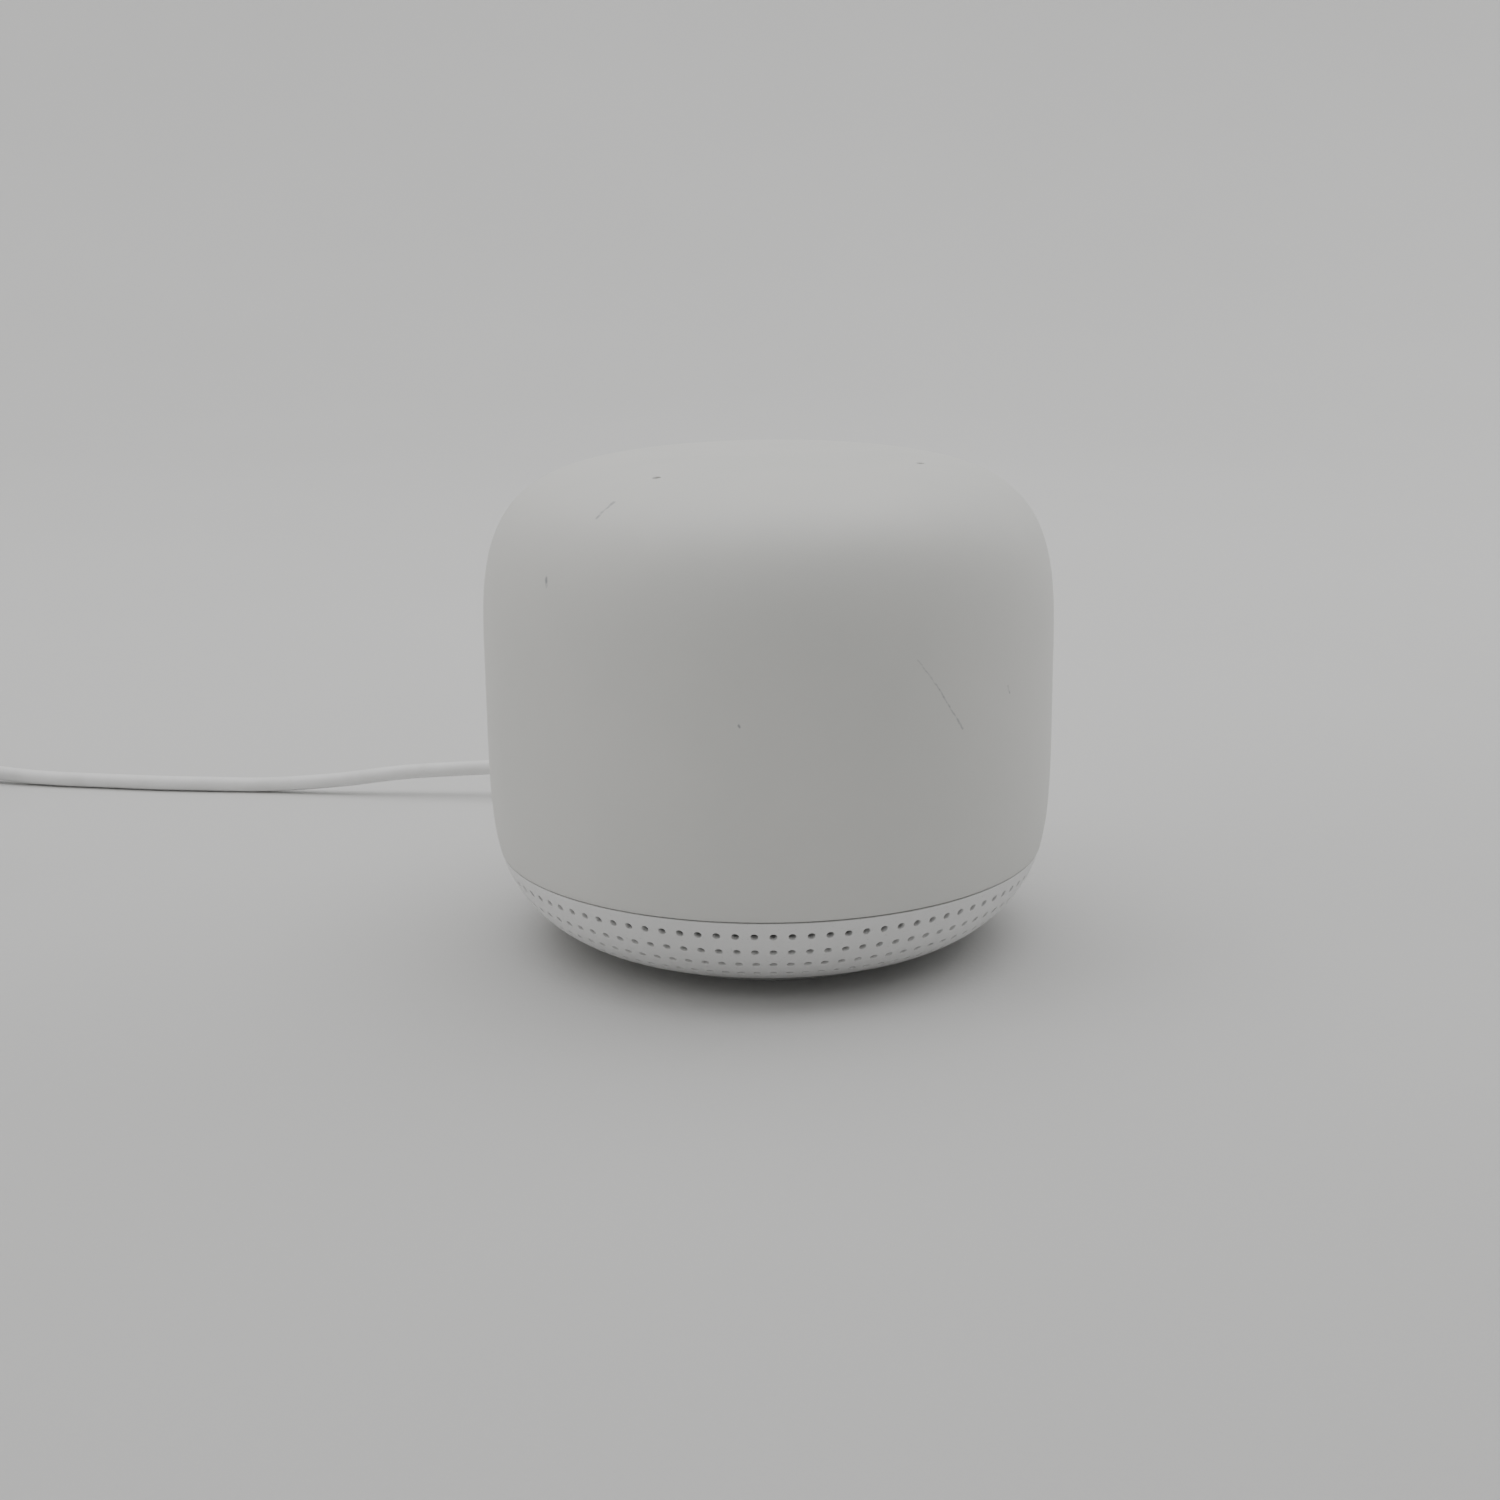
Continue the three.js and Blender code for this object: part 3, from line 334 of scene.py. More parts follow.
def coil_line():
    """The coil's turns: the angle runs on steadily, while radius and height step from one
    column and layer to the next over the last fifth of each turn; then the end climbs over the
    bundle to its outside."""
    turns, step_angle = len(COIL_COLUMNS) - 1, 5.0
    angle = np.arange(0, turns * 360, step_angle)
    turn, within = np.divmod(angle / 360, 1)
    turn = turn.astype(int)
    step_share = 0.2
    ease = eased((within - (1 - step_share)) / step_share)
    column, layer = np.array(COIL_COLUMNS, float), np.array(COIL_LAYERS, float)
    radius = column[turn] + (column[turn + 1] - column[turn]) * ease
    height = layer[turn] + (layer[turn + 1] - layer[turn]) * ease
    leave = np.arange(0, COIL_OUT - COIL_IN + 0.1, step_angle)
    out = eased(leave / leave[-1])
    rise, hump = 0.35, 0.9  # of the end that climbs out, in cord diameters
    radius = np.concatenate([radius, column[-1] + (OUTER_COLUMN - column[-1]) * out])
    climbing = layer[-1] + rise * out + hump * np.sin(np.pi * out) ** 2
    height = np.concatenate([height, climbing])
    angle = np.radians(np.concatenate([angle, turns * 360 + leave]) + COIL_IN)
    reach = COIL_MID + (radius - MIDDLE_COLUMN) * 2 * CORD_R
    x, y = COIL_AT[0] + reach * np.cos(angle), COIL_AT[1] + reach * np.sin(angle)
    return np.stack([x, y, COIL_LIFT + CORD_R + height * 2 * CORD_R], -1)


turns_line = coil_line()
into_coil = smooth_line([*CORD_RUN[-2:], turns_line[0], turns_line[2]])
from_coil = smooth_line([turns_line[-3], turns_line[-1], *ADAPTER_RUN[:2]])


def stretch_inside(line, start, end):
    """The stretch of a line between the points nearest to start and end, without its ends."""
    first = np.linalg.norm(line - start, axis=1).argmin()
    last = np.linalg.norm(line - end, axis=1).argmin()
    return line[first + 1:last]


cord_line = np.concatenate([
    smooth_line(CORD_RUN),
    stretch_inside(into_coil, CORD_RUN[-1], turns_line[0]),
    turns_line,
    stretch_inside(from_coil, turns_line[-1], ADAPTER_RUN[0]),
    smooth_line(ADAPTER_RUN),
]) * MM


def tube_along(name, line, radius):
    """A closed round tube: at each point of the line, a circle in the plane square to the
    line, with its sides taken from the floor's normal; each end is closed by one flat face.
    Its UV map holds the way round and the way along, in metres."""
    forward = np.gradient(line, axis=0)
    forward /= np.linalg.norm(forward, axis=1, keepdims=True)
    side = np.cross(forward, [0, 0, 1])
    side /= np.linalg.norm(side, axis=1, keepdims=True)
    over = np.cross(side, forward)
    sides = 14
    angle = np.linspace(0, 2 * np.pi, sides, endpoint=False)
    across, up = np.cos(angle)[None, :, None], np.sin(angle)[None, :, None]
    points = line[:, None] + (side[:, None] * across + over[:, None] * up) * radius
    index = np.arange(points.shape[0] * sides).reshape(-1, sides)
    skin = grid_faces(index)[:, ::-1]
    made = mesh_object(name, points, [skin, index[:1], index[-1:, ::-1]])
    along = np.concatenate([[0], np.cumsum(np.linalg.norm(np.diff(line, axis=0), axis=1))])
    corner_of = np.empty(len(made.data.loops), int)
    made.data.loops.foreach_get("vertex_index", corner_of)
    unrolled = np.stack([np.tile(angle * radius, len(line)), np.repeat(along, sides)], -1)
    made.data.uv_layers.new(name="UVMap").data.foreach_set("uv", unrolled[corner_of].ravel())
    return made


cord = tube_along("power_cord_jacket", cord_line, CORD_R * MM)
stands_for([cord], "power_lead", "lead_white", "power_cord", "cord_coil", "adapter_cord")
jacket = Finish("soft_white_jacket", color=(0.8, 0.8, 0.8), roughness=0.5, Specular_IOR_Level=0.35)
handled = jacket.noise(160, detail=3)
jacket.look(
    (handled.between(0.35, 0.8), (0.80, 0.80, 0.795), (0.73, 0.73, 0.72)),
    handled.between(0.3, 0.7, 0.44, 0.56), (jacket.noise(4000, detail=2), 0.00002, 0.5),
)
jacket.on(cord)

# -------------------- top shell
# One white ABS moulding with a 2 mm wall, its outside finely textured, with rubbed marks from use.
# Three microphone holes pierce the crown, and a slot at the back lets the mute switch through.
BODY_R, BODY_TOP, WIDEST = 51.1, 87.2, 52.5
CROWN_ROUND, CROWN_RISE = 5.05, 3.26  # exponents above the widest height
SKIRT_ROUND, SKIRT_RISE, SKIRT_FOOT = 3.6, 5.66, 0.5  # and below it, with its vanishing height
SEAM, SEAM_GAP, SHELL_WALL = 17.16, 0.2, 2.0
EDGE, BULGE = 0.2, 0.3  # rounding of moulded edges, and its middle point as a share of it
SHELL_COLUMNS = 192
SLOT_Z, SLOT_HALF, SLOT_TALL, SLOT_LIP, SLOT_POWER = 27.2, 4.4, 2.0, 0.12, 9
SLOT_CELLS, SLOT_BLOCK = 8, (24.75, 29.65)  # cells each way round the slot, and their heights
MIC_RING, MIC_HOLE, MIC_LIP = 27.5, 0.75, 0.18
MIC_CELLS, MIC_BLOCK = 4, 1.8  # cells each way round a hole, and half of their height
FINE_FROM, TOP_RING = 60, 1.2  # where the crown's fine rows start, and the last ring's radius
LEDGE_Z, LEDGE_T, LEDGE_IN = 21.91, 2.5, 39.9
NOTCH_HALF = 10.5


class Profile:
    """A curve in the plane of radius and height, followed by its arc length in mm. A point may
    stand below the curve, along its inward normal, by a depth."""

    def __init__(self, r, z):
        self.r, self.z = r, z
        self.s = np.concatenate([[0], np.cumsum(np.hypot(np.diff(r), np.diff(z)))])
        self.slope_r, self.slope_z = np.gradient(r, self.s), np.gradient(z, self.s)
        self.length = self.s[-1]

    def at(self, s, depth=0.0):
        """Radius and height at arc length s and a depth below the curve."""
        curves = self.r, self.z, self.slope_r, self.slope_z
        r, z, slope_r, slope_z = (np.interp(s, self.s, values) for values in curves)
        return r - depth * slope_z, z + depth * slope_r

    def around(self, u, s, depth):
        """Points in mm at azimuth u, on the surface that the curve sweeps about Z."""
        r, z = self.at(s, depth)
        return np.stack(np.broadcast_arrays(r * np.cos(u), r * np.sin(u), z), -1)


def body_profile(start_z):
    """The body's outline from start_z up to the axis: below the widest height the radius is
    R (1 - t^rise)^(1/round), with t the height's share of the way down; above it the same, with t
    the way up, as cos^(2/round) and sin^(2/rise) of one angle so that the flat crown is sampled."""
    z = np.linspace(start_z, WIDEST, 10000, endpoint=False)
    r = BODY_R * (1 - ((WIDEST - z) / (WIDEST - SKIRT_FOOT)) ** SKIRT_RISE) ** (1 / SKIRT_ROUND)
    angle = np.linspace(0, np.pi / 2, 40000)
    crown_r = BODY_R * np.clip(np.cos(angle), 0, 1) ** (2 / CROWN_ROUND)
    crown_r[-1] = 0
    crown_z = WIDEST + (BODY_TOP - WIDEST) * np.sin(angle) ** (2 / CROWN_RISE)
    return Profile(np.concatenate([r, crown_r]), np.concatenate([z, crown_z]))


def block_edge(height, width):
    """Row and column steps round a block of cells, anticlockwise seen from outside."""
    up, across = np.arange(height), np.arange(width)
    rows = np.concatenate([across * 0, up, across * 0 + height, height - up])
    columns = np.concatenate([across, up * 0 + width, width - across, up * 0])
    return rows, columns


def block_turn(cells):
    """The bearing from a square block's centre of each step round it."""
    up, across = block_edge(cells, cells)
    return np.arctan2(up - cells / 2, across - cells / 2)


def pierced(name, r, z, openings, poles=None):
    """A wall swept about Z, with openings through it. r and z hold the loop of its section, row
    by row, up the outside and down the inside, for each column. Each opening takes out a block
    of cells on both faces and bridges their edges with rings."""
    columns = r.shape[1]
    angle = np.linspace(0, 2 * np.pi, columns, endpoint=False)
    points = [np.stack([r * np.cos(angle), r * np.sin(angle), z], -1).reshape(-1, 3)]
    index = np.arange(r.size).reshape(r.shape)
    cells = index if poles is not None else np.concatenate([index, index[:1]])
    kept = np.ones((len(cells) - 1, columns), bool)
    faces, used = [], r.size
    for opening in openings:
        outer, inner, rings = opening["outer"], opening["inner"], opening["rings"]
        first, width = opening["first"], opening["width"]
        span = (first[:, None] + np.arange(width)) % columns
        for low in (outer[:, :-1], np.minimum(inner[:, :-1], inner[:, 1:])):
            kept[low[:, :, None], span[:, None, :]] = False
        up, across = block_edge(outer.shape[1] - 1, width)
        column = (first[:, None] + across) % columns
        new = used + np.arange(rings[..., 0].size).reshape(rings.shape[:-1])
        used += new.size
        points.append(rings.reshape(-1, 3))
        walk = np.concatenate([[index[outer[:, up], column]], new, [index[inner[:, up], column]]])
        after = np.roll(walk, -1, axis=2)
        faces.append(np.stack([walk[:-1], after[:-1], after[1:], walk[1:]], -1).reshape(-1, 4))
    faces.append(grid_faces(cells)[kept.ravel()])
    if poles is not None:
        points.append(np.array([[0, 0, pole] for pole in poles]))
        faces += pole_fans(index, used)
    return mesh_object(name, np.concatenate(points) * MM, faces)


def hole_rings(profile, u0, s0, outline, lip, wall):
    """Rings from the outer face to the inner through a hole at azimuth u0 and arc length s0: a
    support ring, a rounded lip, the bore and the inner rim. outline(grow) gives its edge, across
    and along, in mm."""
    steps = [(2.2 * lip, 0), (lip, 0), (BULGE * lip, BULGE * lip), (0, lip), (0, wall)]
    r0 = profile.at(s0)[0]
    rings = []
    for grow, depth in steps:
        across, along = outline(grow)
        rings.append(profile.around(u0[:, None] + across / r0[:, None], s0[:, None] + along, depth))
    return np.stack(rings)


def circle_outline(radius, turn):
    """The edge of a round hole, for hole_rings."""
    return lambda grow: ((radius + grow) * np.cos(turn)[None], (radius + grow) * np.sin(turn)[None])


def same_all_round(values, columns=SHELL_COLUMNS):
    """A section's values, with the same ones in each column."""
    return np.repeat(np.asarray(values)[:, None], columns, 1)


shell_curve = body_profile(SEAM + SEAM_GAP / 2)
off_axis, on_crown = shell_curve.r > 5, shell_curve.z > 80


def at_height(z):
    """Arc length up the shell to this height."""
    return float(np.interp(z, shell_curve.z[off_axis], shell_curve.s[off_axis]))


mic_s = float(np.interp(-MIC_RING, -shell_curve.r[on_crown], shell_curve.s[on_crown]))
slot_low, slot_high = map(at_height, SLOT_BLOCK)
fine_s = at_height(FINE_FROM)
stations = [
    np.linspace(EDGE, slot_low, 7)[:-1],
    np.linspace(slot_low, slot_high, SLOT_CELLS + 1)[:-1],
    np.linspace(slot_high, fine_s, 17)[:-1],
    np.linspace(fine_s, mic_s - MIC_BLOCK, 40)[:-1],
    np.linspace(mic_s - MIC_BLOCK, mic_s + MIC_BLOCK, MIC_CELLS + 1)[:-1],
    np.linspace(mic_s + MIC_BLOCK, shell_curve.length - TOP_RING, 14),
]
rows = np.concatenate(stations)
slot_rows = len(stations[0]) + np.arange(SLOT_CELLS + 1)
mic_rows = sum(map(len, stations[:4])) + np.arange(MIC_CELLS + 1)
above = rows[rows > at_height(LEDGE_Z + LEDGE_T) + 0.1]
outer_r, outer_z = shell_curve.at(rows)
inner_r, inner_z = shell_curve.at(above[::-1], SHELL_WALL)

# The ledge that the screws pull on runs round the inside, with a notch for the switch.
ledge_r, ledge_z = [], []
azimuth = np.linspace(0, 2 * np.pi, SHELL_COLUMNS, endpoint=False)
for z, reach in ((LEDGE_Z + LEDGE_T, 0), (LEDGE_Z + LEDGE_T, 1), (LEDGE_Z, 1), (LEDGE_Z, 0)):
    wall_at = shell_curve.at(at_height(z), SHELL_WALL)[0]
    in_notch = (np.abs(wall_at * np.cos(azimuth)) < NOTCH_HALF) & (np.sin(azimuth) > 0)
    ledge_r.append(np.where(in_notch | (reach == 0), wall_at - 0.01 * reach, LEDGE_IN))
    ledge_z.append(np.full(SHELL_COLUMNS, z))
rim_r, rim_z = shell_curve.at(
    np.array([EDGE, BULGE * EDGE, 0, 0, BULGE * EDGE]),
    np.array([SHELL_WALL, SHELL_WALL - BULGE * EDGE, SHELL_WALL - EDGE, EDGE, BULGE * EDGE]),
)
section_r, section_z = (
    np.concatenate([same_all_round(inside), ledge, same_all_round(rim), same_all_round(outside)])
    for inside, ledge, rim, outside in (
        (inner_r, ledge_r, rim_r, outer_r), (inner_z, ledge_z, rim_z, outer_z)
    )
)
outer_at = len(above) + len(ledge_r) + len(rim_r) + np.arange(len(rows))
inner_at = len(above) - 1 - (np.arange(len(rows)) - (len(rows) - len(above)))

mic_column = np.arange(3) * SHELL_COLUMNS // 3 + SHELL_COLUMNS // 4
mic_rings = hole_rings(
    shell_curve, 2 * np.pi * mic_column / SHELL_COLUMNS, np.full(3, mic_s),
    circle_outline(MIC_HOLE, block_turn(MIC_CELLS)), MIC_LIP, SHELL_WALL,
)


def slot_outline(grow):
    """The slot's edge, a superellipse: |across / a|^n + |along / b|^n = 1."""
    turn = block_turn(SLOT_CELLS)[None]
    power = np.abs(np.cos(turn)) ** SLOT_POWER + np.abs(np.sin(turn)) ** SLOT_POWER
    reach = power ** (-1 / SLOT_POWER)
    return (SLOT_HALF + grow) * reach * np.cos(turn), (SLOT_TALL + grow) * reach * np.sin(turn)


slot_rings = hole_rings(
    shell_curve, np.array([np.pi / 2]), np.array([at_height(SLOT_Z)]),
    slot_outline, SLOT_LIP, SHELL_WALL,
)
top_shell = pierced("top_shell_moulding", section_r, section_z, [
    {"outer": np.tile(outer_at[mic_rows], (3, 1)), "inner": np.tile(inner_at[mic_rows], (3, 1)),
     "first": mic_column - MIC_CELLS // 2, "width": MIC_CELLS, "rings": mic_rings},
    {"outer": outer_at[slot_rows][None], "inner": inner_at[slot_rows][None],
     "first": np.array([SHELL_COLUMNS // 4 - SLOT_CELLS // 2]), "width": SLOT_CELLS,
     "rings": slot_rings},
], poles=(BODY_TOP - SHELL_WALL, BODY_TOP))
stands_for([top_shell], "casing", "shell_white", "top_shell")


def streak(finish, start, end, half_width):
    """1 on the line between two points, fading to 0 at half_width from it, all in mm: the
    distance from p to start + h (end - start), where h is where p falls along the line, kept in
    0 to 1. Noise moves p by up to half of `wander` metres, so that the mark isn't straight."""
    start, end, width = np.array(start) * MM, np.array(end) * MM, half_width * MM
    along, wander = end - start, 0.0006
    drift = finish.scaled(finish.texture("Noise", 700.0, "Color"), wander)
    moved = finish.vector("ADD", finish.where(), drift)
    p = finish.vector("SUBTRACT", moved, tuple(start + 0.5 * wander))
    share = finish.vector("DOT_PRODUCT", p, tuple(along / (along @ along)), output=1)
    nearest = finish.scaled(tuple(along), share.high(0.0).low(1.0))
    return finish.vector("DISTANCE", p, nearest, output=1).between(width, width * 0.25)


WHITE_ABS, WHITE_ABS_DULL = (0.682, 0.68, 0.655), (0.65, 0.654, 0.63)
white_abs = Finish("white_moulded_abs", roughness=0.5, Specular_IOR_Level=0.4)
cloudy = white_abs.noise(28, detail=4)
grain = white_abs.noise(2600, detail=2)
scuffs = [  # ends in mm, half-width in mm, darkness
    ((-36.4, -22.8, 81.9), (-33.1, -21.1, 84.1), 0.45, 0.62),
    ((-45.0, -20.8, 73.2), (-44.7, -21.4, 69.6), 0.42, 0.8),
    ((9.6, -50.1, 60.3), (13.7, -49.2, 54.9), 0.2, 0.45),
    ((13.7, -49.2, 54.9), (18.5, -47.6, 47.5), 0.24, 0.55),
    ((-19.8, -47.1, 51.2), (-19.6, -47.1, 50.9), 0.28, 0.7),
    ((28.9, -42.1, 52.8), (29.2, -41.9, 51.4), 0.26, 0.5),
]
marks = [streak(white_abs, *line) * darkness for *line, darkness in scuffs]
worn = reduce(Wire.high, marks)
patchy = white_abs.noise(1500, detail=3).between(0.32, 0.55, 0.35, 1.0)
clean = white_abs.mix(cloudy.between(0.3, 0.75), WHITE_ABS, WHITE_ABS_DULL)
white_abs.look(
    (worn * patchy, clean, (0.24, 0.25, 0.27)), cloudy.between(0.3, 0.7, 0.47, 0.55),
    (grain, 0.000018, 0.6),
)
white_abs.on(top_shell)

# -------------------- perforated base
# A white moulding 1.8 mm thick that turns under on one arc, with four rows of round holes for the
# speaker and the power port at the back. A lip behind the seam snaps inside the top shell.
BOWL_R, BOWL_WALL = 22.35, 1.8
BOWL_START, BOWL_END = 16.0, 64.0  # degrees below horizontal, from the arc's centre
HOLE_R, HOLE_LIP, HOLE_ROWS, HOLES_ROUND = 0.68, 0.06, 4, 96
FIRST_HOLE, HOLE_STEP = 23.6, 9.73  # degrees down the arc to the top row, and from row to row
CELLS = 3  # cells each way round one hole
FOOT_ROWS, TOP_ROW = (62.6, 60.2), 17.5  # degrees: rows below and above those of the holes
INNER_TOP_ROW, INNER_FIRST, INNER_SQUEEZE = 20.6, 21.2, 0.745  # inside, clear of the lip
PORT_Z, PORT_BORE, SPOUT_R, PORT_END = 11.5, 4.6, 5.0, 38.4
PORT_HALF_TILES = 2  # holes left out on each side of the port
PORT_LIP = ((0.22, 0), (0.06, 0.08), (0, 0.25))  # wider than the bore by, and sunk by, mm
PORT_SHELF_R, PORT_SHELF_Z = 46.5, (16.66, 16.7)  # the inside's top rows are raised over it
LIP_T, LIP_TOP, LIP_FOOT = 1.2, 19.01, 16.2
seam_r = float(body_profile(SEAM).r[0])
bowl_r = seam_r - BOWL_R * math.cos(math.radians(BOWL_START))
bowl_z = SEAM + BOWL_R * math.sin(math.radians(BOWL_START))
fall = np.radians(np.linspace(BOWL_END, 0, 4000))
bowl_curve = Profile(bowl_r + BOWL_R * np.cos(fall), bowl_z - BOWL_R * np.sin(fall))


def at_slope(degrees):
    """Arc length up the bowl to the point this many degrees below its centre."""
    return BOWL_R * np.radians(BOWL_END - np.asarray(degrees, float))


last_tile = FIRST_HOLE + (HOLE_ROWS - 0.5) * HOLE_STEP
first_tile = FIRST_HOLE - 0.5 * HOLE_STEP
tile_rows = np.linspace(last_tile, first_tile, HOLE_ROWS * CELLS + 1)
squeezed = np.where(
    tile_rows < FIRST_HOLE + HOLE_STEP / 2,
    INNER_FIRST + (tile_rows - first_tile) * INNER_SQUEEZE, tile_rows,
)
outer_slopes = np.concatenate([FOOT_ROWS, tile_rows, [TOP_ROW]])
inner_slopes = np.concatenate([FOOT_ROWS, squeezed, [INNER_TOP_ROW]])
foot_r, foot_z = bowl_curve.at(
    np.array([0, 0, BULGE * EDGE]), np.array([BOWL_WALL - EDGE, EDGE, BULGE * EDGE])
)
bowl_out_r, bowl_out_z = bowl_curve.at(at_slope(outer_slopes))
bowl_in_r, bowl_in_z = bowl_curve.at(at_slope(inner_slopes[::-1]), BOWL_WALL)
seam_top = SEAM - SEAM_GAP / 2
seam_s = float(at_slope(math.degrees(math.asin((bowl_z - SEAM + SEAM_GAP / 2) / BOWL_R))))
bead_r, bead_z = bowl_curve.at(
    np.array([seam_s - EDGE, seam_s - BULGE * EDGE]), np.array([0, BULGE * EDGE])
)
lip_r = seam_r * (BODY_R - SHELL_WALL) / BODY_R - SEAM_GAP
lip_section = np.array([
    [bead_r[1] - EDGE, seam_top], [lip_r, seam_top], [lip_r, LIP_TOP - EDGE],
    [lip_r - EDGE, LIP_TOP], [lip_r - LIP_T + EDGE, LIP_TOP], [lip_r - LIP_T, LIP_TOP - EDGE],
    [lip_r - LIP_T, LIP_FOOT],
])
base_columns = HOLES_ROUND * CELLS
loop_r = np.concatenate([foot_r, bowl_out_r, bead_r, lip_section[:, 0], bowl_in_r])
loop_z = np.concatenate([foot_z, bowl_out_z, bead_z, lip_section[:, 1], bowl_in_z])
base_r, base_z = same_all_round(loop_r, base_columns), same_all_round(loop_z, base_columns)
bowl_outer_at = len(foot_r) + np.arange(len(outer_slopes))
bowl_inner_at = len(loop_r) - 1 - np.arange(len(inner_slopes))
port_width = 2 * PORT_HALF_TILES * CELLS
port_first = base_columns // 4 - PORT_HALF_TILES * CELLS
port_block = {"first": np.array([port_first]), "width": port_width}
port_columns = port_first + np.arange(port_width + 1)
base_r[bowl_inner_at[-1], port_columns] = PORT_SHELF_R
for rows_up, z in enumerate(PORT_SHELF_Z):
    base_z[bowl_inner_at[-1] - rows_up, port_columns] = z

tile = np.arange(HOLES_ROUND)
beside_port = np.abs(tile + 0.5 - HOLES_ROUND / 4) < PORT_HALF_TILES
pierced_tiles = tile[~beside_port]
tile_row = np.repeat(np.arange(HOLE_ROWS), len(pierced_tiles))
tile_column = np.tile(pierced_tiles, HOLE_ROWS)
tile_block = len(FOOT_ROWS) + (tile_row * CELLS)[:, None] + np.arange(CELLS + 1)
tile_rings = hole_rings(
    bowl_curve, 2 * np.pi * (tile_column + 0.5) / HOLES_ROUND,
    at_slope(FIRST_HOLE + HOLE_STEP * (HOLE_ROWS - 1 - tile_row)),
    circle_outline(HOLE_R, block_turn(CELLS)), HOLE_LIP, BOWL_WALL,
)


def around_port(slopes):
    """For each step round the port's block of cells, whose rows are at these slopes: its x and z
    on the bowl's face, and its bearing from the port's axis."""
    up, across = block_edge(len(slopes) - 1, port_width)
    u = np.pi / 2 + (across - port_width / 2) * 2 * np.pi / base_columns
    slope = np.radians(slopes[up])
    x, z = (bowl_r + BOWL_R * np.cos(slope)) * np.cos(u), bowl_z - BOWL_R * np.sin(slope)
    return x, z, np.arctan2(z - PORT_Z, x)


def on_bowl(x, z, depth=0.0):
    """The point of the bowl's face straight behind (x, z), looking along Y."""
    reach = bowl_r + np.sqrt((BOWL_R - depth) ** 2 - (bowl_z - z) ** 2)
    return np.stack([x, np.sqrt(reach**2 - x**2), z], -1)


def port_circle(radius, bearing):
    """x and z on a circle about the port's axis."""
    return radius * np.cos(bearing), PORT_Z + radius * np.sin(bearing)


port_rows = len(FOOT_ROWS) + np.arange(HOLE_ROWS * CELLS + 2)
block_x, block_z, port_bearing = around_port(outer_slopes[port_rows])
round_x, round_z = port_circle(PORT_BORE + 0.55, port_bearing)
bore_x, bore_z = port_circle(PORT_BORE, port_bearing)
spout_x, spout_z = port_circle(SPOUT_R, port_bearing)
port_rings = np.stack([
    *[on_bowl(block_x + (round_x - block_x) * share, block_z + (round_z - block_z) * share)
      for share in (0.35, 0.7, 1.0)],
    *[on_bowl(*port_circle(PORT_BORE + wider, port_bearing)) - [0, sunk, 0]
      for wider, sunk in PORT_LIP],
    np.stack([bore_x, np.full(bore_x.shape, PORT_END), bore_z], -1),
    np.stack([spout_x, np.full(spout_x.shape, PORT_END), spout_z], -1),
    on_bowl(spout_x, spout_z, BOWL_WALL),
])[:, None]
base_skin = pierced("perforated_base_moulding", base_r, base_z, [
    {"outer": bowl_outer_at[tile_block], "inner": bowl_inner_at[tile_block],
     "first": tile_column * CELLS, "width": CELLS, "rings": tile_rings},
    {"outer": bowl_outer_at[port_rows][None], "inner": bowl_inner_at[port_rows][None],
     "rings": port_rings, **port_block},
])
stands_for([base_skin], "casing", "base_white", "base_grille")

base_abs = Finish("white_base_abs", roughness=0.5, Specular_IOR_Level=0.4)
cloudy = base_abs.noise(40, detail=4)
above_floor = base_abs.node("ShaderNodeSeparateXYZ", {}, {0: base_abs.where()}, output=2)
# Painted shade: the base's colour runs towards the dark grey within 6.5 mm of the floor, standing
# in for the floor's contact shadow under it. The noise flecks added to it are real dust, in the
# same dark grey.
painted_floor_shade = above_floor.between(0.0065, 0.003)
dust_and_floor_shade = base_abs.noise(2200, detail=3).between(0.6, 0.78) * 0.35 + painted_floor_shade * 0.25
clean = base_abs.mix(cloudy.between(0.3, 0.75), (0.80, 0.80, 0.795), (0.76, 0.76, 0.755))
base_abs.look(
    (dust_and_floor_shade, clean, (0.47, 0.47, 0.46)), cloudy.between(0.3, 0.7, 0.46, 0.54),
    (base_abs.noise(2600, detail=2), 0.000018, 0.6),
)
base_abs.on(base_skin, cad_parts["base_frame"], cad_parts["bottom_plate"])

# -------------------- acoustic screen
# Grey woven polyester, bonded inside the base behind the perforations to keep dust out.
SCREEN_FACES = (2.05, 2.3)  # depths below the base's outside, mm
SCREEN_PORT_R = 5.25
screen_slopes = np.concatenate([[61.5, 60.0], np.linspace(57.0, 22.0, 13), [19.0, 18.0]])
screen_s = at_slope(screen_slopes)
screen_loop = bowl_curve.at(
    np.concatenate([screen_s, screen_s[::-1]]), np.repeat(SCREEN_FACES, len(screen_s))
)
screen_r, screen_z = (same_all_round(values, base_columns) for values in screen_loop)
screen_rows = np.arange(1, len(screen_slopes))
screen_bearing = around_port(screen_slopes[screen_rows])[2]
screen_x, screen_hole_z = port_circle(SCREEN_PORT_R, screen_bearing)
screen = pierced("acoustic_screen", screen_r, screen_z, [{
    "outer": screen_rows[None], "inner": (len(screen_loop[0]) - 1 - screen_rows)[None],
    "rings": np.stack([on_bowl(screen_x, screen_hole_z, depth) for depth in SCREEN_FACES])[:, None],
    **port_block,
}])
stands_for([screen], "casing", "foam")
polyester = Finish("grey_woven_polyester", roughness=0.9, Specular_IOR_Level=0.15)
cloth = polyester.waves("X", 900.0).high(polyester.waves("Z", 900.0))
polyester.look(
    (cloth, (0.13, 0.13, 0.13), (0.24, 0.24, 0.24)), cloth.between(0, 1, 0.95, 0.82),
    (cloth, 0.00004, 0.7),
)
polyester.on(screen)

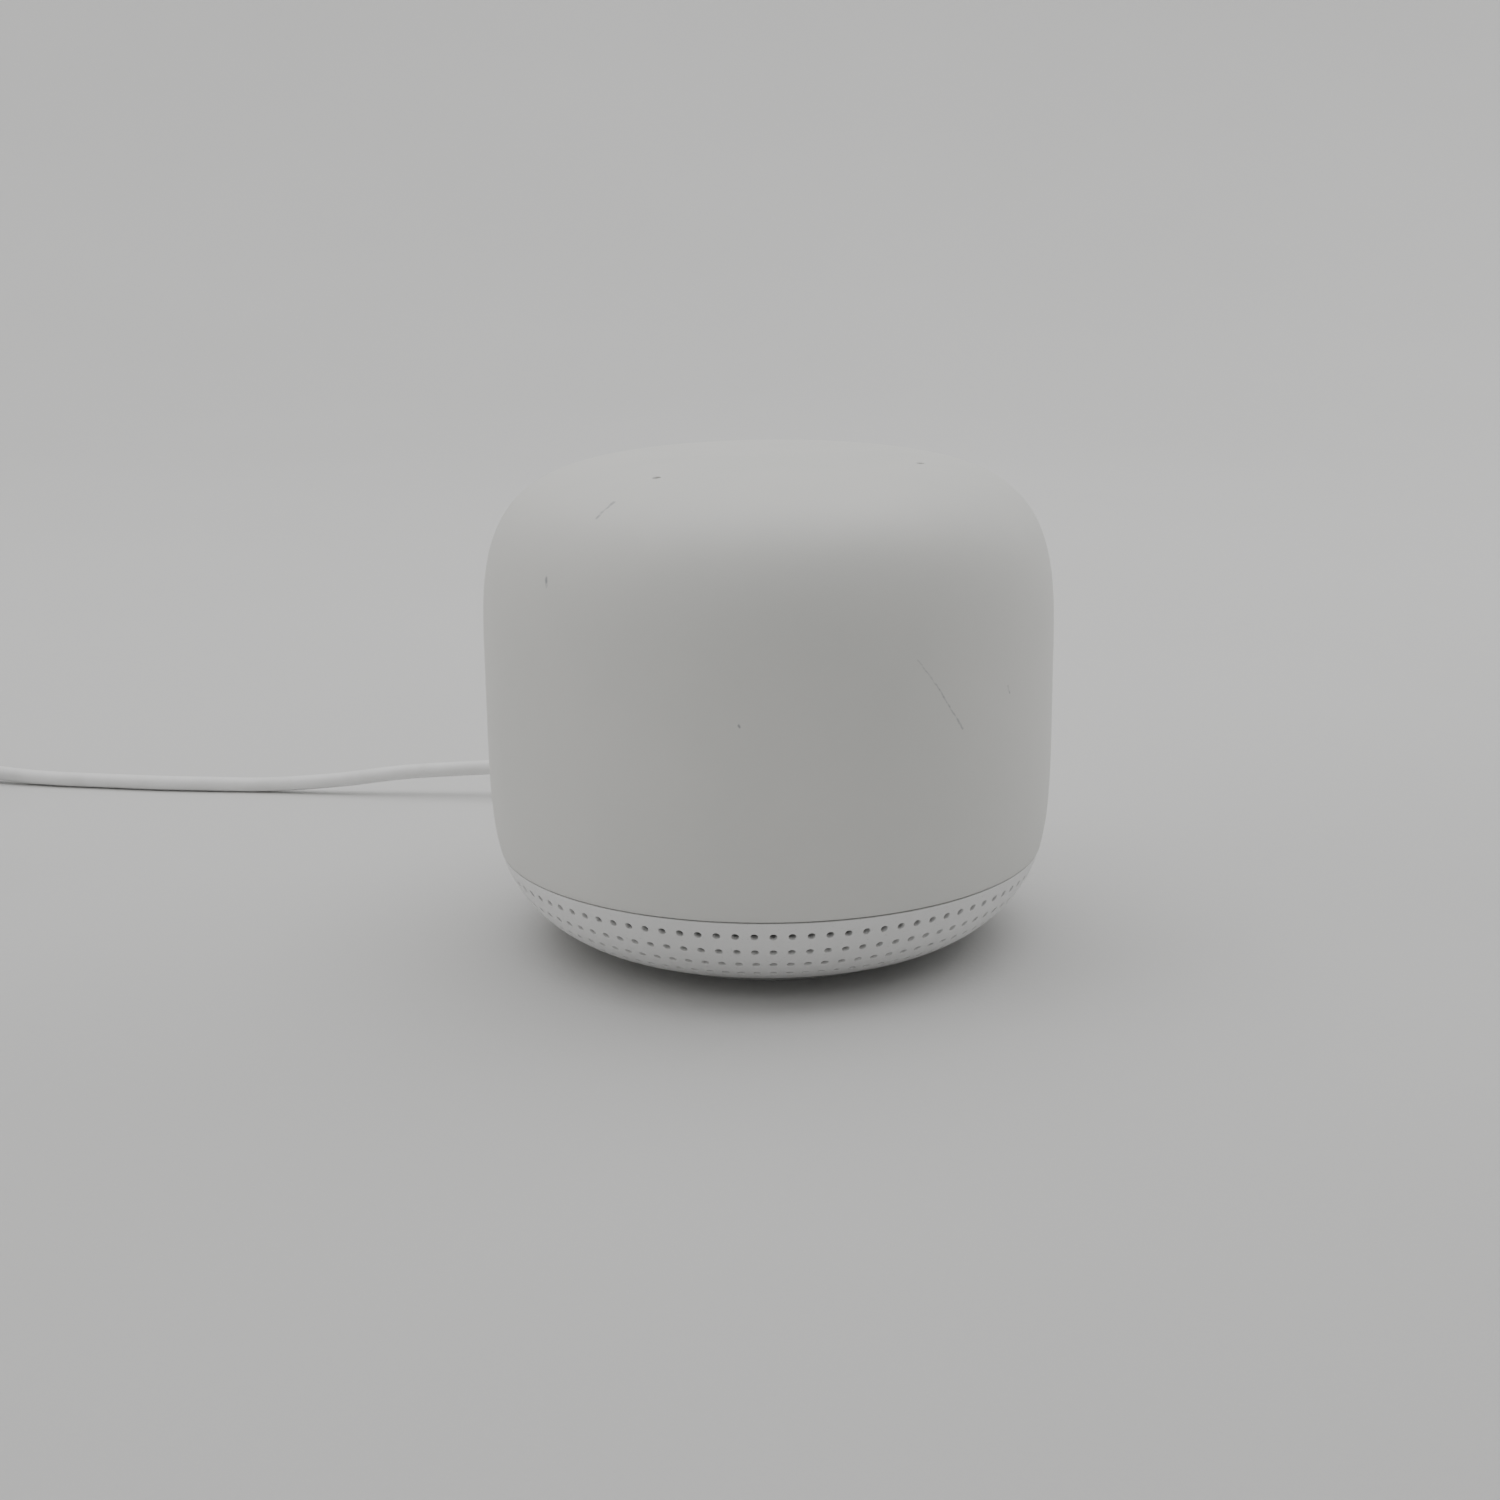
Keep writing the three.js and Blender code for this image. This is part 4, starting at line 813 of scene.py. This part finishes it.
# -------------------- underside
# A grey silicone foot is bonded over the screws of the bottom plate. Round the plate runs the
# status light's ring, in milky polycarbonate, and a small grey reset button sits off centre.
def rounded(corners, radius, steps):
    """An outline with each corner replaced by a quadratic curve that starts and ends `radius`
    away from it; corners on the axis stay sharp."""
    corners = np.asarray(corners, float)
    before, after = np.roll(corners, 1, axis=0), np.roll(corners, -1, axis=0)
    t = np.linspace(0, 1, steps)[:, None]
    out = []
    for a, p, b in zip(before, corners, after):
        if p[0] == 0:
            out.append(p[None])
            continue
        near = min(radius, np.linalg.norm(a - p) * 0.45, np.linalg.norm(b - p) * 0.45)
        start = p + (a - p) / np.linalg.norm(a - p) * near
        end = p + (b - p) / np.linalg.norm(b - p) * near
        out.append(start * (1 - t) ** 2 + 2 * p * t * (1 - t) + end * t**2)
    return np.concatenate(out)


def soft_rectangle(inner, outer, low, high, soft, steps=5):
    """A rectangle with its four corners rounded, such as the section of a flat ring."""
    return rounded([(inner, low), (outer, low), (outer, high), (inner, high)], soft, steps)


FOOT_IN, FOOT_OUT, FOOT_T = 20, 30.5, 2.8
GROOVES, GROOVE_HALF, GROOVE_DEEP = (22.6, 25.25, 27.9), 0.5, 0.25
foot_section = soft_rectangle(FOOT_IN, FOOT_OUT, 0, FOOT_T, 0.5)
foot = turned("silicone_foot", np.concatenate([
    foot_section[:5],
    *[[(r - GROOVE_HALF, 0), (r - GROOVE_DEEP, GROOVE_DEEP), (r + GROOVE_DEEP, GROOVE_DEEP),
       (r + GROOVE_HALF, 0)] for r in GROOVES],
    foot_section[5:],
]), columns=192)
stands_for([foot], "casing", "foot_rubber", "rubber_foot")
light_band = turned("status_light_band", soft_rectangle(31.46, 34.86, 3.4, 6.0, 0.35), columns=192)
stands_for([light_band], "casing", "light_diffuser", "light_ring")
reset_key = turned("reset_key", [  # dished below, with a flange that keeps it in
    (0, 3.6), (1.2, 3.52), (2.0, 3.34), (2.3, 3.3), (2.45, 3.36), (2.5, 3.5), (2.5, 5.0),
    (3.75, 5.0), (3.8, 5.05), (3.8, 5.35), (3.75, 5.4), (0, 5.4),
], columns=64, centre=(0, -10, 0))
stands_for([reset_key], "reset", "foot_rubber", "reset_button")

silicone = Finish("grey_silicone", roughness=0.7, Specular_IOR_Level=0.35)
lint = silicone.noise(1800, detail=4).between(0.62, 0.74)
grey = silicone.mix(silicone.noise(60, detail=3), (0.40, 0.40, 0.40), (0.46, 0.46, 0.455))
silicone.look(
    (lint, grey, (0.6, 0.59, 0.57)), lint * 0.15 + 0.66, (silicone.noise(5000), 0.00002, 0.6),
)
silicone.on(foot, reset_key)
milky = Finish("milky_polycarbonate", roughness=0.3, Subsurface_Weight=0.25, Subsurface_Scale=0.002)
flow = milky.noise(90, detail=3)
milky.look(
    (flow, (0.74, 0.745, 0.74), (0.79, 0.795, 0.79)), flow.between(0.3, 0.7, 0.26, 0.36),
    (milky.noise(3000), 0.00001, 0.4),
)
milky.on(light_band)

# -------------------- microphone mute switch
# A white moulded knob, ribbed for a fingertip, slides sideways in the slot at the back. A thin
# apron behind it keeps the slot shut, and both are one moulding.
SWITCH_X = -1.5  # where the knob rests
KNOB_HALF, KNOB_TALL, KNOB_BACK, KNOB_FACE = 2.4, 1.5, 45.96, 51.1
APRON_HALF, APRON_TALL, APRON_T = 6.3, 2.7, 0.9
RIB_HEIGHT, RIB_PITCH = 0.14, 0.9


def prism(name, outline, low, high, bevel, axes="xyz"):
    """A closed outline in mm carried straight from low to high, with its sharp edges bevelled.
    axes names the outline's two axes and then the one that it is carried along."""
    outline = np.asarray(outline, float)
    count = len(outline)
    ends = [np.column_stack([outline, np.full(count, value)]) for value in (low, high)]
    points = np.concatenate(ends)[:, [axes.index(axis) for axis in "xyz"]] * MM
    index = np.arange(2 * count).reshape(2, count)
    sides = grid_faces(index)
    made = mesh_object(name, points, [sides, index[:1, ::-1], index[1:]])
    if axes == "xzy":  # a left-handed order turns the faces inside out
        made.data.flip_normals()
    soften = made.modifiers.new("softened_edges", "BEVEL")
    soften.width, soften.segments, soften.limit_method = bevel * MM, 3, "ANGLE"
    soften.angle_limit, soften.harden_normals = math.radians(40), True
    return made


rib_x = np.linspace(-KNOB_HALF + 0.45, KNOB_HALF - 0.45, 41)
rib_y = KNOB_FACE - RIB_HEIGHT + RIB_HEIGHT * np.cos(rib_x * 2 * np.pi / RIB_PITCH)
knob_left, knob_right = SWITCH_X - KNOB_HALF, SWITCH_X + KNOB_HALF
knob = prism("mute_knob", np.concatenate([
    [(knob_left, KNOB_BACK + 0.4), (knob_right, KNOB_BACK + 0.4), (knob_right, KNOB_FACE - 0.1)],
    np.stack([SWITCH_X + rib_x, rib_y], -1)[::-1], [(knob_left, KNOB_FACE - 0.1)],
]), SLOT_Z - KNOB_TALL, SLOT_Z + KNOB_TALL, bevel=0.22)
apron = prism("mute_knob_apron", [
    (SWITCH_X - APRON_HALF, SLOT_Z - APRON_TALL), (SWITCH_X + APRON_HALF, SLOT_Z - APRON_TALL),
    (SWITCH_X + APRON_HALF, SLOT_Z + APRON_TALL), (SWITCH_X - APRON_HALF, SLOT_Z + APRON_TALL),
], KNOB_BACK, KNOB_BACK + APRON_T, bevel=0.15, axes="xzy")
stands_for([knob, apron], "mic_switch", "shell_white", "mic_switch_slider")
base_abs.on(knob, apron)

# -------------------- power plug
# The cord ends in a barrel plug overmoulded in soft white plastic: a nose that fills the port,
# a grip with shallow rings, and a slotted taper that spares the cord at the plug.
NOSE_R, NOSE_TIP, GRIP_R, GRIP_FROM, GRIP_TO = 4.1, 38.8, 4.6, 47.5, 61.5
RINGS_AT, RING_HALF, RING_FLAT, RING_R = (51.5, 53.6, 55.7, 57.8), 0.55, 0.3, 4.42
on_port = (0, 0, PORT_Z)
nose = rounded([(0, NOSE_TIP), (NOSE_R, NOSE_TIP), (NOSE_R, GRIP_FROM), (GRIP_R, GRIP_FROM),
                (GRIP_R, GRIP_TO)], 0.5, 5)[1:16]
tail = rounded([(GRIP_R, GRIP_FROM), (GRIP_R, GRIP_TO), (0, GRIP_TO)], 0.9, 6)[6:12]
grip_rings = [[(GRIP_R, y - RING_HALF), (RING_R, y - RING_FLAT), (RING_R, y + RING_FLAT),
               (GRIP_R, y + RING_HALF)] for y in RINGS_AT]
plug_section = np.concatenate([[(0, NOSE_TIP)], nose, *grip_rings, tail, [(0, GRIP_TO)]])
plug_body = turned("plug_overmould", plug_section, 64, on_port, along_y=True)


def slotted_taper(name, base, tip, start, length, slots, centre):
    """A taper along Y whose radius drops by a third of its wall in each of a row of slots. A
    slot's depth is a cosine, enlarged and cut off to a flat bottom, to the power 0.6."""
    share = np.linspace(0, 1, slots * 12 + 1)
    groove = np.clip(np.cos(2 * np.pi * slots * share) * -1.6, 0, 1) ** 0.6
    groove *= (share > 0.06) & (share < 0.97)
    radius = base + (tip - base) * share
    radius = radius - groove * 0.35 * (radius - CORD_R)
    radius[[0, -1]] -= 0.25
    side = np.stack([radius, start + length * share], -1)
    section = np.concatenate([[(0, start)], side, [(0, start + length)]])
    return turned(name, section, 48, centre, along_y=True)


plug_taper = slotted_taper("plug_taper", 3.4, 2.1, 61.8, 15.9, 6, on_port)
barrel = turned("plug_barrel_sleeve", [
    (0, 31.0), (1.1, 30.6), (1.1, 28.9), (1.35, 28.6), (2.45, 28.5), (2.7, 28.7), (2.75, 29.0),
    (2.75, 38.3), (2.7, 38.5), (0, 38.5),
], 48, on_port, along_y=True)
stands_for([plug_body], "power_lead", "lead_white", "dc_plug_body")
stands_for([barrel], "power_lead", "contact_metal", "dc_plug_barrel")
stands_for([plug_taper], "power_lead", "lead_white", "plug_strain_relief")
soft_mould = Finish("soft_white_overmould", roughness=0.5, Specular_IOR_Level=0.4)
smudge = soft_mould.noise(220, detail=4)
soft_mould.look(
    (smudge.between(0.45, 0.8), (0.76, 0.76, 0.755), (0.68, 0.68, 0.67)),
    smudge.between(0.3, 0.7, 0.42, 0.56), (soft_mould.noise(3500), 0.00002, 0.6),
)
soft_mould.on(plug_body, plug_taper)

# -------------------- cord tie
# The spare cord is held by a strap of black hook-and-loop tape, its end lapped over itself.
TIE_X, TIE_HALF, TIE_T = COIL_AT[0], 3.0, 1.0
TIE_Y, TIE_Z = (117.4, 136.5), (0.0, 12.2)
LAP_HALF, LAP_Y, LAP_Z = 2.9, (120.5, 131.0), (12.15, 12.95)
STRAP_POINTS, STRAP_POWER = 96, 5


def strap_rail(x, outward):
    """One edge of the strap, at x: a superellipse in y and z that stands `outward` from the
    strap's middle line, as |cos|^(2/n) and |sin|^(2/n) of one angle."""
    angle = np.linspace(0, 2 * np.pi, STRAP_POINTS, endpoint=False)
    across, up = np.cos(angle), np.sin(angle)
    half_y = (TIE_Y[1] - TIE_Y[0] - TIE_T) / 2 + outward
    half_z = (TIE_Z[1] - TIE_Z[0] - TIE_T) / 2 + outward
    y = np.sign(across) * np.abs(across) ** (2 / STRAP_POWER) * half_y + sum(TIE_Y) / 2
    z = np.sign(up) * np.abs(up) ** (2 / STRAP_POWER) * half_z + sum(TIE_Z) / 2
    return np.stack([np.full(STRAP_POINTS, TIE_X + x), y, z], -1)


strap_section = soft_rectangle(-TIE_HALF, TIE_HALF, -TIE_T / 2, TIE_T / 2, 0.2, 3)
rails = [strap_rail(*at) for at in strap_section]
strap_index = np.arange(len(rails) * STRAP_POINTS).reshape(-1, STRAP_POINTS)
strap_faces = grid_faces(strap_index, wrap_rows=True)
strap = mesh_object("tie_strap", np.stack(rails) * MM, [strap_faces])
lap_outline = soft_rectangle(TIE_X - LAP_HALF, TIE_X + LAP_HALF, *LAP_Y, 1.2)
lap = prism("tie_strap_end", lap_outline, *LAP_Z, bevel=0.15)
stands_for([strap, lap], "power_lead", "black_plastic", "cord_tie")
hook_tape = Finish("black_hook_tape", roughness=0.9, Specular_IOR_Level=0.2)
loops = hook_tape.texture("Voronoi", 2600.0, "Distance")
hook_tape.look(
    (loops.between(0.1, 0.7), (0.012, 0.012, 0.013), (0.045, 0.045, 0.048)),
    loops.between(0.1, 0.7, 0.95, 0.8), (loops, 0.0002, 0.9),
)
hook_tape.on(strap, lap)

# -------------------- wall adapter
# A white polycarbonate box of two mouldings welded together, lying face up: two flat nickel
# plated blades stand on its cover, and the cord leaves one side through a slotted sleeve.
ADAPTER_X, ADAPTER_Y, ADAPTER_HALF, ADAPTER_ROUND = -195.9, 77.0, 22.0, 7.0
ADAPTER_BODY, COVER_Z, COVER_TOP, SLEEVE_Z = 25.0, 25.3, 28.5, 12.5
FOOT_EDGE, JOINT_EDGE, TOP_EDGE = 2.2, 0.2, 1.6  # rounding of its edges, mm


def rounded_square(half, radius):
    """Corners as quarter circles, joined by straight sides, anticlockwise."""
    corners = []
    for quarter, way in enumerate(([1, 1], [-1, 1], [-1, -1], [1, -1])):
        turn = np.linspace(0, np.pi / 2, 12) + quarter * np.pi / 2
        centre = (half - radius) * np.array(way)
        corners.append(centre + radius * np.stack([np.cos(turn), np.sin(turn)], -1))
    return np.concatenate(corners)


def cushion_box(name, levels):
    """Rounded squares stacked at heights, each drawn in from the outline by its own inset, with
    flat caps at both ends."""
    outline = rounded_square(ADAPTER_HALF, ADAPTER_ROUND)
    towards = outline / np.linalg.norm(outline, axis=1, keepdims=True)
    middle = ADAPTER_X, ADAPTER_Y
    rings = [np.column_stack([(outline - towards * inset) + middle, np.full(len(outline), z)])
             for z, inset in levels]
    index = np.arange(len(levels) * len(outline)).reshape(len(levels), -1)
    faces = [grid_faces(index), index[:1, ::-1], index[-1:]]
    return mesh_object(name, np.concatenate(rings) * MM, faces)


def edge_levels(z, reach, way):
    """Heights and insets of a quarter-round edge that starts at z."""
    t = np.linspace(0, np.pi / 2, 6)
    levels = np.stack([z + way * reach * (1 - np.cos(t)), reach * (1 - np.sin(t))], -1)
    return levels if way > 0 else levels[::-1]


adapter_box = cushion_box("adapter_box", np.concatenate([
    [(0.0, FOOT_EDGE + 1.4), (0.0, FOOT_EDGE + 0.1)], edge_levels(0.0, FOOT_EDGE, 1),
    [(3.2, 0), (21, 0)], edge_levels(ADAPTER_BODY, JOINT_EDGE, -1), [(ADAPTER_BODY, 0.6)],
]))
adapter_lid = cushion_box("adapter_lid", np.concatenate([
    [(COVER_Z, 0.6)], edge_levels(COVER_Z, JOINT_EDGE, 1), edge_levels(COVER_TOP, TOP_EDGE, -1),
    [(COVER_TOP, TOP_EDGE + 0.3), (COVER_TOP, TOP_EDGE + 1.6)],
]))
sleeve = slotted_taper("adapter_sleeve", 3.6, 2.1, 99.3, 20.0, 7, (ADAPTER_X, 0, SLEEVE_Z))
stands_for([adapter_box], "power_lead", "adapter_white", "adapter_body")
stands_for([adapter_lid], "power_lead", "adapter_white", "adapter_cover")
stands_for([sleeve], "power_lead", "lead_white", "adapter_strain_relief")
soft_mould.on(sleeve)
gloss_white = Finish("glossy_white_polycarbonate", roughness=0.25)
rubbed = gloss_white.noise(130, detail=5)
nick = gloss_white.noise(900, detail=2).between(0.7, 0.76)
bright = gloss_white.mix(rubbed, (0.74, 0.74, 0.735), (0.79, 0.79, 0.785))
gloss_white.look(
    (nick * 0.5, bright, (0.5, 0.5, 0.49)), rubbed.between(0.35, 0.75, 0.2, 0.36),
    (gloss_white.noise(700, detail=2), 0.00001, 0.4),
)
gloss_white.on(adapter_box, adapter_lid)

BLADE_W, BLADE_T, BLADE_L, BLADE_Z, BLADE_HALF_PITCH = 6.3, 1.5, 16.0, 28.8, 6.35
EYE_R, EYE_AT, EYE_LIP = 1.5, 11.8, 0.15
BLADE_POINTS, BLADE_EDGE = 64, (0.35, 0.3)  # its edge is cut back by, over a thickness of


def blade(name, x):
    """A flat blade with a bevelled tip and an eye: rings run from the eye out to the outline on
    one side and back on the other; each outline point is where a ray from the eye's centre
    leaves the blade's convex shape, whose sides are rows of a normal and a distance."""
    turn = np.linspace(0, 2 * np.pi, BLADE_POINTS, endpoint=False)
    ray = np.stack([np.cos(turn), np.sin(turn)], -1)
    low, high, half = -EYE_AT, BLADE_L - EYE_AT, BLADE_W / 2
    sides = np.array([[1, 0, half], [-1, 0, half], [0, -1, -low], [0, 1, high],
                      [0.8, 0.6, 4.25], [-0.8, 0.6, 4.25]])
    facing = ray @ sides[:, :2].T
    reach = np.where(facing > 1e-6, sides[:, 2] / np.maximum(facing, 1e-6), np.inf).min(axis=1)
    side, (cut_in, cut_over) = BLADE_T / 2, BLADE_EDGE
    rings = [
        (reach - cut_in, -side), (reach, -side + cut_over), (reach, side - cut_over),
        (reach - cut_in, side), (EYE_R + EYE_LIP, side), (EYE_R, side - EYE_LIP),
        (EYE_R, EYE_LIP - side), (EYE_R + EYE_LIP, -side),
    ]
    points = np.stack([
        np.column_stack([np.full(BLADE_POINTS, x + across), ADAPTER_Y + ray[:, 0] * out,
                         BLADE_Z + EYE_AT + ray[:, 1] * out])
        for out, across in rings
    ]) * MM
    index = np.arange(len(rings) * BLADE_POINTS).reshape(-1, BLADE_POINTS)
    return mesh_object(name, points, [grid_faces(index, wrap_rows=True)])


nickel = Finish("nickel_plated_brass", color=(0.72, 0.70, 0.66), roughness=0.25, Metallic=1.0)
drawn = nickel.noise(1.0, at=nickel.stretched(9000.0, 9000.0, 600.0))
nickel.look(
    (drawn.between(0.55, 0.8), (0.74, 0.72, 0.68), (0.58, 0.55, 0.49)),
    drawn.between(0.3, 0.7, 0.2, 0.38), (drawn, 0.00002, 0.5),
)
prongs = [blade(f"adapter_prong_{number}", ADAPTER_X + way * BLADE_HALF_PITCH)
          for number, way in ((1, -1), (2, 1))]
for number, prong in enumerate(prongs, 1):
    stands_for([prong], "power_lead", "contact_metal", f"adapter_blade_{number}")
nickel.on(*prongs, barrel)

# -------------------- loudspeaker and its box
# A 45 mm driver fires down from a sealed black ABS box: a pressed steel basket, a pulp cone with
# a rubber surround, a copper coil on a cloth spider, and a ferrite magnet between steel plates.
def on_nodes(finish, *names):
    """Puts a finish on the pieces that stand for CAD nodes."""
    finish.on(*[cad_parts[name] for name in names])


def moulded(name, dark, light, roughness, fleck=0.5):
    """A spark-eroded moulding: cloudy colour, fine grain and paler rubbed flecks."""
    made = Finish(name, roughness=roughness, Specular_IOR_Level=0.4)
    cloud = made.noise(70, detail=4)
    rubs = made.noise(500, detail=5).between(0.62, 0.78) * fleck
    rubbed_color = tuple(1.8 * channel + 0.02 for channel in light)
    made.look(
        (rubs, made.mix(cloud, dark, light), rubbed_color),
        cloud.between(0.3, 0.7, roughness - 0.06, roughness + 0.08),
        (made.noise(2400), 0.00004, 0.7),
    )
    return made


def rings_about_z(finish, pitch):
    """A wave of concentric rings about the Z axis, `pitch` metres apart, between 0 and 1."""
    settings = {"wave_type": "RINGS", "rings_direction": "Z"}
    return finish.texture("Wave", math.pi / (10 * pitch), "Fac", settings)


black_abs = moulded("black_textured_abs", (0.018, 0.018, 0.019), (0.026, 0.026, 0.028), 0.55)
on_nodes(black_abs, "speaker_chamber", "chamber_lid", "sound_deflector")

pressed_steel = Finish("zinc_plated_steel", color=(0.6, 0.6, 0.61), roughness=0.32, Metallic=1.0)
spangle = pressed_steel.texture("Voronoi", 420.0, "Color")
tone = pressed_steel.node("ShaderNodeSeparateColor", {}, {0: spangle})
tarnish = pressed_steel.noise(150, detail=5)
plated = pressed_steel.mix(tone, (0.55, 0.56, 0.58), (0.66, 0.67, 0.68))
pressed_steel.look(
    (tarnish.between(0.55, 0.8), plated, (0.42, 0.40, 0.37)),
    tone * 0.08 + tarnish.between(0.3, 0.8, 0.26, 0.4),
    (pressed_steel.noise(1600, detail=3), 0.00002, 0.6),
)
on_nodes(pressed_steel, "speaker_basket", "front_plate", "pole_piece")
for family, count in (("shield_can", 2), ("base_screw", 4), ("shell_screw", 3), ("microphone", 3)):
    on_nodes(pressed_steel, *[f"{family}_{number + 1}" for number in range(count)])

pulp = Finish("black_paper_pulp", roughness=0.85, Specular_IOR_Level=0.2)
fibres = pulp.noise(1.0, detail=4, at=pulp.stretched(900.0, 2600.0, 900.0))
pulp.look(
    (fibres.between(0.45, 0.75), (0.02, 0.02, 0.021), (0.06, 0.058, 0.055)),
    fibres.between(0.3, 0.7, 0.78, 0.92),
    (fibres * 0.7 + rings_about_z(pulp, 0.0016) * 0.3, 0.00012, 0.8),
)
on_nodes(pulp, "speaker_cone", "dust_cap")
rubber = moulded("black_butyl_rubber", (0.014, 0.014, 0.014), (0.022, 0.022, 0.022), 0.62, 0.35)
on_nodes(rubber, "speaker_surround")
# The spider: rings of ripples, faded out at both ends, and a neck that rises to the coil.
SPIDER_IN, SPIDER_OUT, SPIDER_T, SPIDER_Z = 9.12, 15.2, 0.3, 7.3
RIPPLE_IN, RIPPLE_OUT, RIPPLE_FADE, RIPPLE_HEIGHT, RIPPLE_PITCH = 10.2, 14.4, 0.6, 0.36, 1.35
NECK_OUT, NECK_WIDE, NECK_HEIGHT = 10.3, 1.0, 1.0
driver_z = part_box("speaker_basket")[0][2] / MM
spider_r = np.linspace(SPIDER_IN, SPIDER_OUT, 90)
swell = eased((spider_r - RIPPLE_IN) / RIPPLE_FADE) * eased((RIPPLE_OUT - spider_r) / RIPPLE_FADE)
ripple = np.cos(2 * np.pi * (spider_r - RIPPLE_IN - 0.2) / RIPPLE_PITCH)
spider_z = driver_z + SPIDER_Z + RIPPLE_HEIGHT * swell * ripple
spider_z += NECK_HEIGHT * eased((NECK_OUT - spider_r) / NECK_WIDE)
spider_low = np.stack([spider_r, spider_z - SPIDER_T / 2], -1)
spider_high = np.stack([spider_r, spider_z + SPIDER_T / 2], -1)[::-1]
spider = turned("cloth_spider", np.concatenate([spider_low, spider_high]))
stands_for([spider], "casing", "suspension_cloth", "speaker_spider")
woven = Finish("resin_dipped_cotton", roughness=0.8)
weave = woven.waves("X", 420.0).high(woven.waves("Y", 420.0))
pressed_rings = woven.bump(rings_about_z(woven, 0.0012), 0.0003, 0.9)
woven.surface(
    Base_Color=woven.mix(weave * woven.noise(300, detail=3), (0.30, 0.19, 0.07), (0.62, 0.45, 0.2)),
    Roughness=weave.between(0, 1, 0.88, 0.7),
    Normal=woven.bump(weave, 0.00006, 0.8, below=pressed_rings),
)
woven.on(spider)
windings = Finish("enamelled_copper_wire", color=(0.6, 0.3, 0.14), roughness=0.3, Metallic=1.0)
strands = windings.waves("Z", 1700.0)
windings.look(
    (strands, (0.30, 0.11, 0.04), (0.72, 0.36, 0.17)), strands.between(0, 1, 0.45, 0.25),
    (strands, 0.00008, 0.9),
)
on_nodes(windings, "voice_coil")
ferrite = Finish("sintered_ferrite", roughness=0.55)
chips = ferrite.noise(900, detail=6, roughness=0.7)
ferrite.look(
    (chips.between(0.4, 0.75), (0.035, 0.035, 0.038), (0.10, 0.10, 0.105)),
    chips.between(0.35, 0.7, 0.62, 0.4), (chips, 0.00008, 0.8),
)
on_nodes(ferrite, "speaker_magnet")
foam = Finish("charcoal_gasket_foam", roughness=0.95, Specular_IOR_Level=0.1)
pores = foam.texture("Voronoi", 1900.0, "Distance")
foam.look(
    (pores, (0.02, 0.02, 0.021), (0.085, 0.085, 0.088)), pores.between(0, 1, 1.0, 0.88),
    (pores, 0.0003, 0.9),
)
on_nodes(foam, "speaker_gasket")

# -------------------- radio and control boards
# Glass-epoxy boards under green solder mask carry the radio, touch, light and switch circuits.
# An aluminium block spreads the processor's heat, and brass antennas clip round a black carrier.
mask_green = Finish("green_solder_mask", roughness=0.3, Coat_Weight=0.4, Coat_Roughness=0.15)
tracks = mask_green.texture(
    "Brick", 260.0, "Fac", {"offset": 0.35, "squash": 0.6},
    **{"Mortar Size": 0.06, "Mortar Smooth": 0.2, "Bias": 0.0},
)
spots = mask_green.texture("Voronoi", 330.0, "Distance")
pads = spots.between(0.22, 0.18)
ground = mask_green.mix(mask_green.noise(60, detail=3), (0.012, 0.10, 0.045), (0.018, 0.13, 0.06))
traced = mask_green.mix(tracks, ground, (0.045, 0.24, 0.10))
mask_green.surface(
    Base_Color=mask_green.mix(pads, traced, (0.72, 0.62, 0.38)),
    Roughness=pads.between(0, 1, 0.34, 0.22),
    Metallic=pads * 0.9,
    Normal=mask_green.bump(tracks * 0.5 + pads, 0.00004, 0.7),
)
on_nodes(mask_green, "light_board", "main_board", "touch_board", "switch_board")
aluminium = Finish("extruded_aluminium", color=(0.7, 0.71, 0.72), roughness=0.35, Metallic=1.0)
drag = aluminium.noise(1.0, detail=3, at=aluminium.stretched(120.0, 5200.0, 5200.0))
aluminium.look(
    (drag, (0.58, 0.59, 0.60), (0.74, 0.75, 0.76)), drag.between(0.3, 0.7, 0.28, 0.46),
    (drag, 0.00003, 0.7),
)
on_nodes(aluminium, "heat_sink")
putty = moulded("grey_thermal_silicone", (0.16, 0.19, 0.24), (0.20, 0.24, 0.30), 0.75, 0.3)
on_nodes(putty, "thermal_pad")
epoxy = moulded("black_chip_epoxy", (0.012, 0.012, 0.013), (0.018, 0.018, 0.02), 0.5, 0.25)
on_nodes(epoxy, "processor", "mic_switch_body", "reset_switch")
glass_filled = moulded("glass_filled_nylon", (0.022, 0.022, 0.023), (0.034, 0.034, 0.036), 0.6, 0.7)
on_nodes(glass_filled, "antenna_carrier", "dc_jack")
brass = Finish("stamped_antenna_brass", color=(0.75, 0.56, 0.28), roughness=0.3, Metallic=1.0)
stain = brass.noise(240, detail=5)
brass.look(
    (stain.between(0.4, 0.8), (0.78, 0.60, 0.31), (0.52, 0.34, 0.15)),
    stain.between(0.3, 0.8, 0.24, 0.45), (brass.noise(1800, detail=2), 0.00002, 0.5),
)
on_nodes(brass, "antenna_1", "antenna_2", "antenna_3")
flex = Finish("polyimide_flex", roughness=0.3, Coat_Weight=0.3, Coat_Roughness=0.1)
lines = flex.waves("Y", 320.0)
flex.look(
    (lines.between(0.45, 0.6), (0.42, 0.17, 0.02), (0.72, 0.40, 0.12)),
    lines.between(0, 1, 0.36, 0.26), (lines, 0.00004, 0.7),
)
on_nodes(flex, "ribbon_cable")
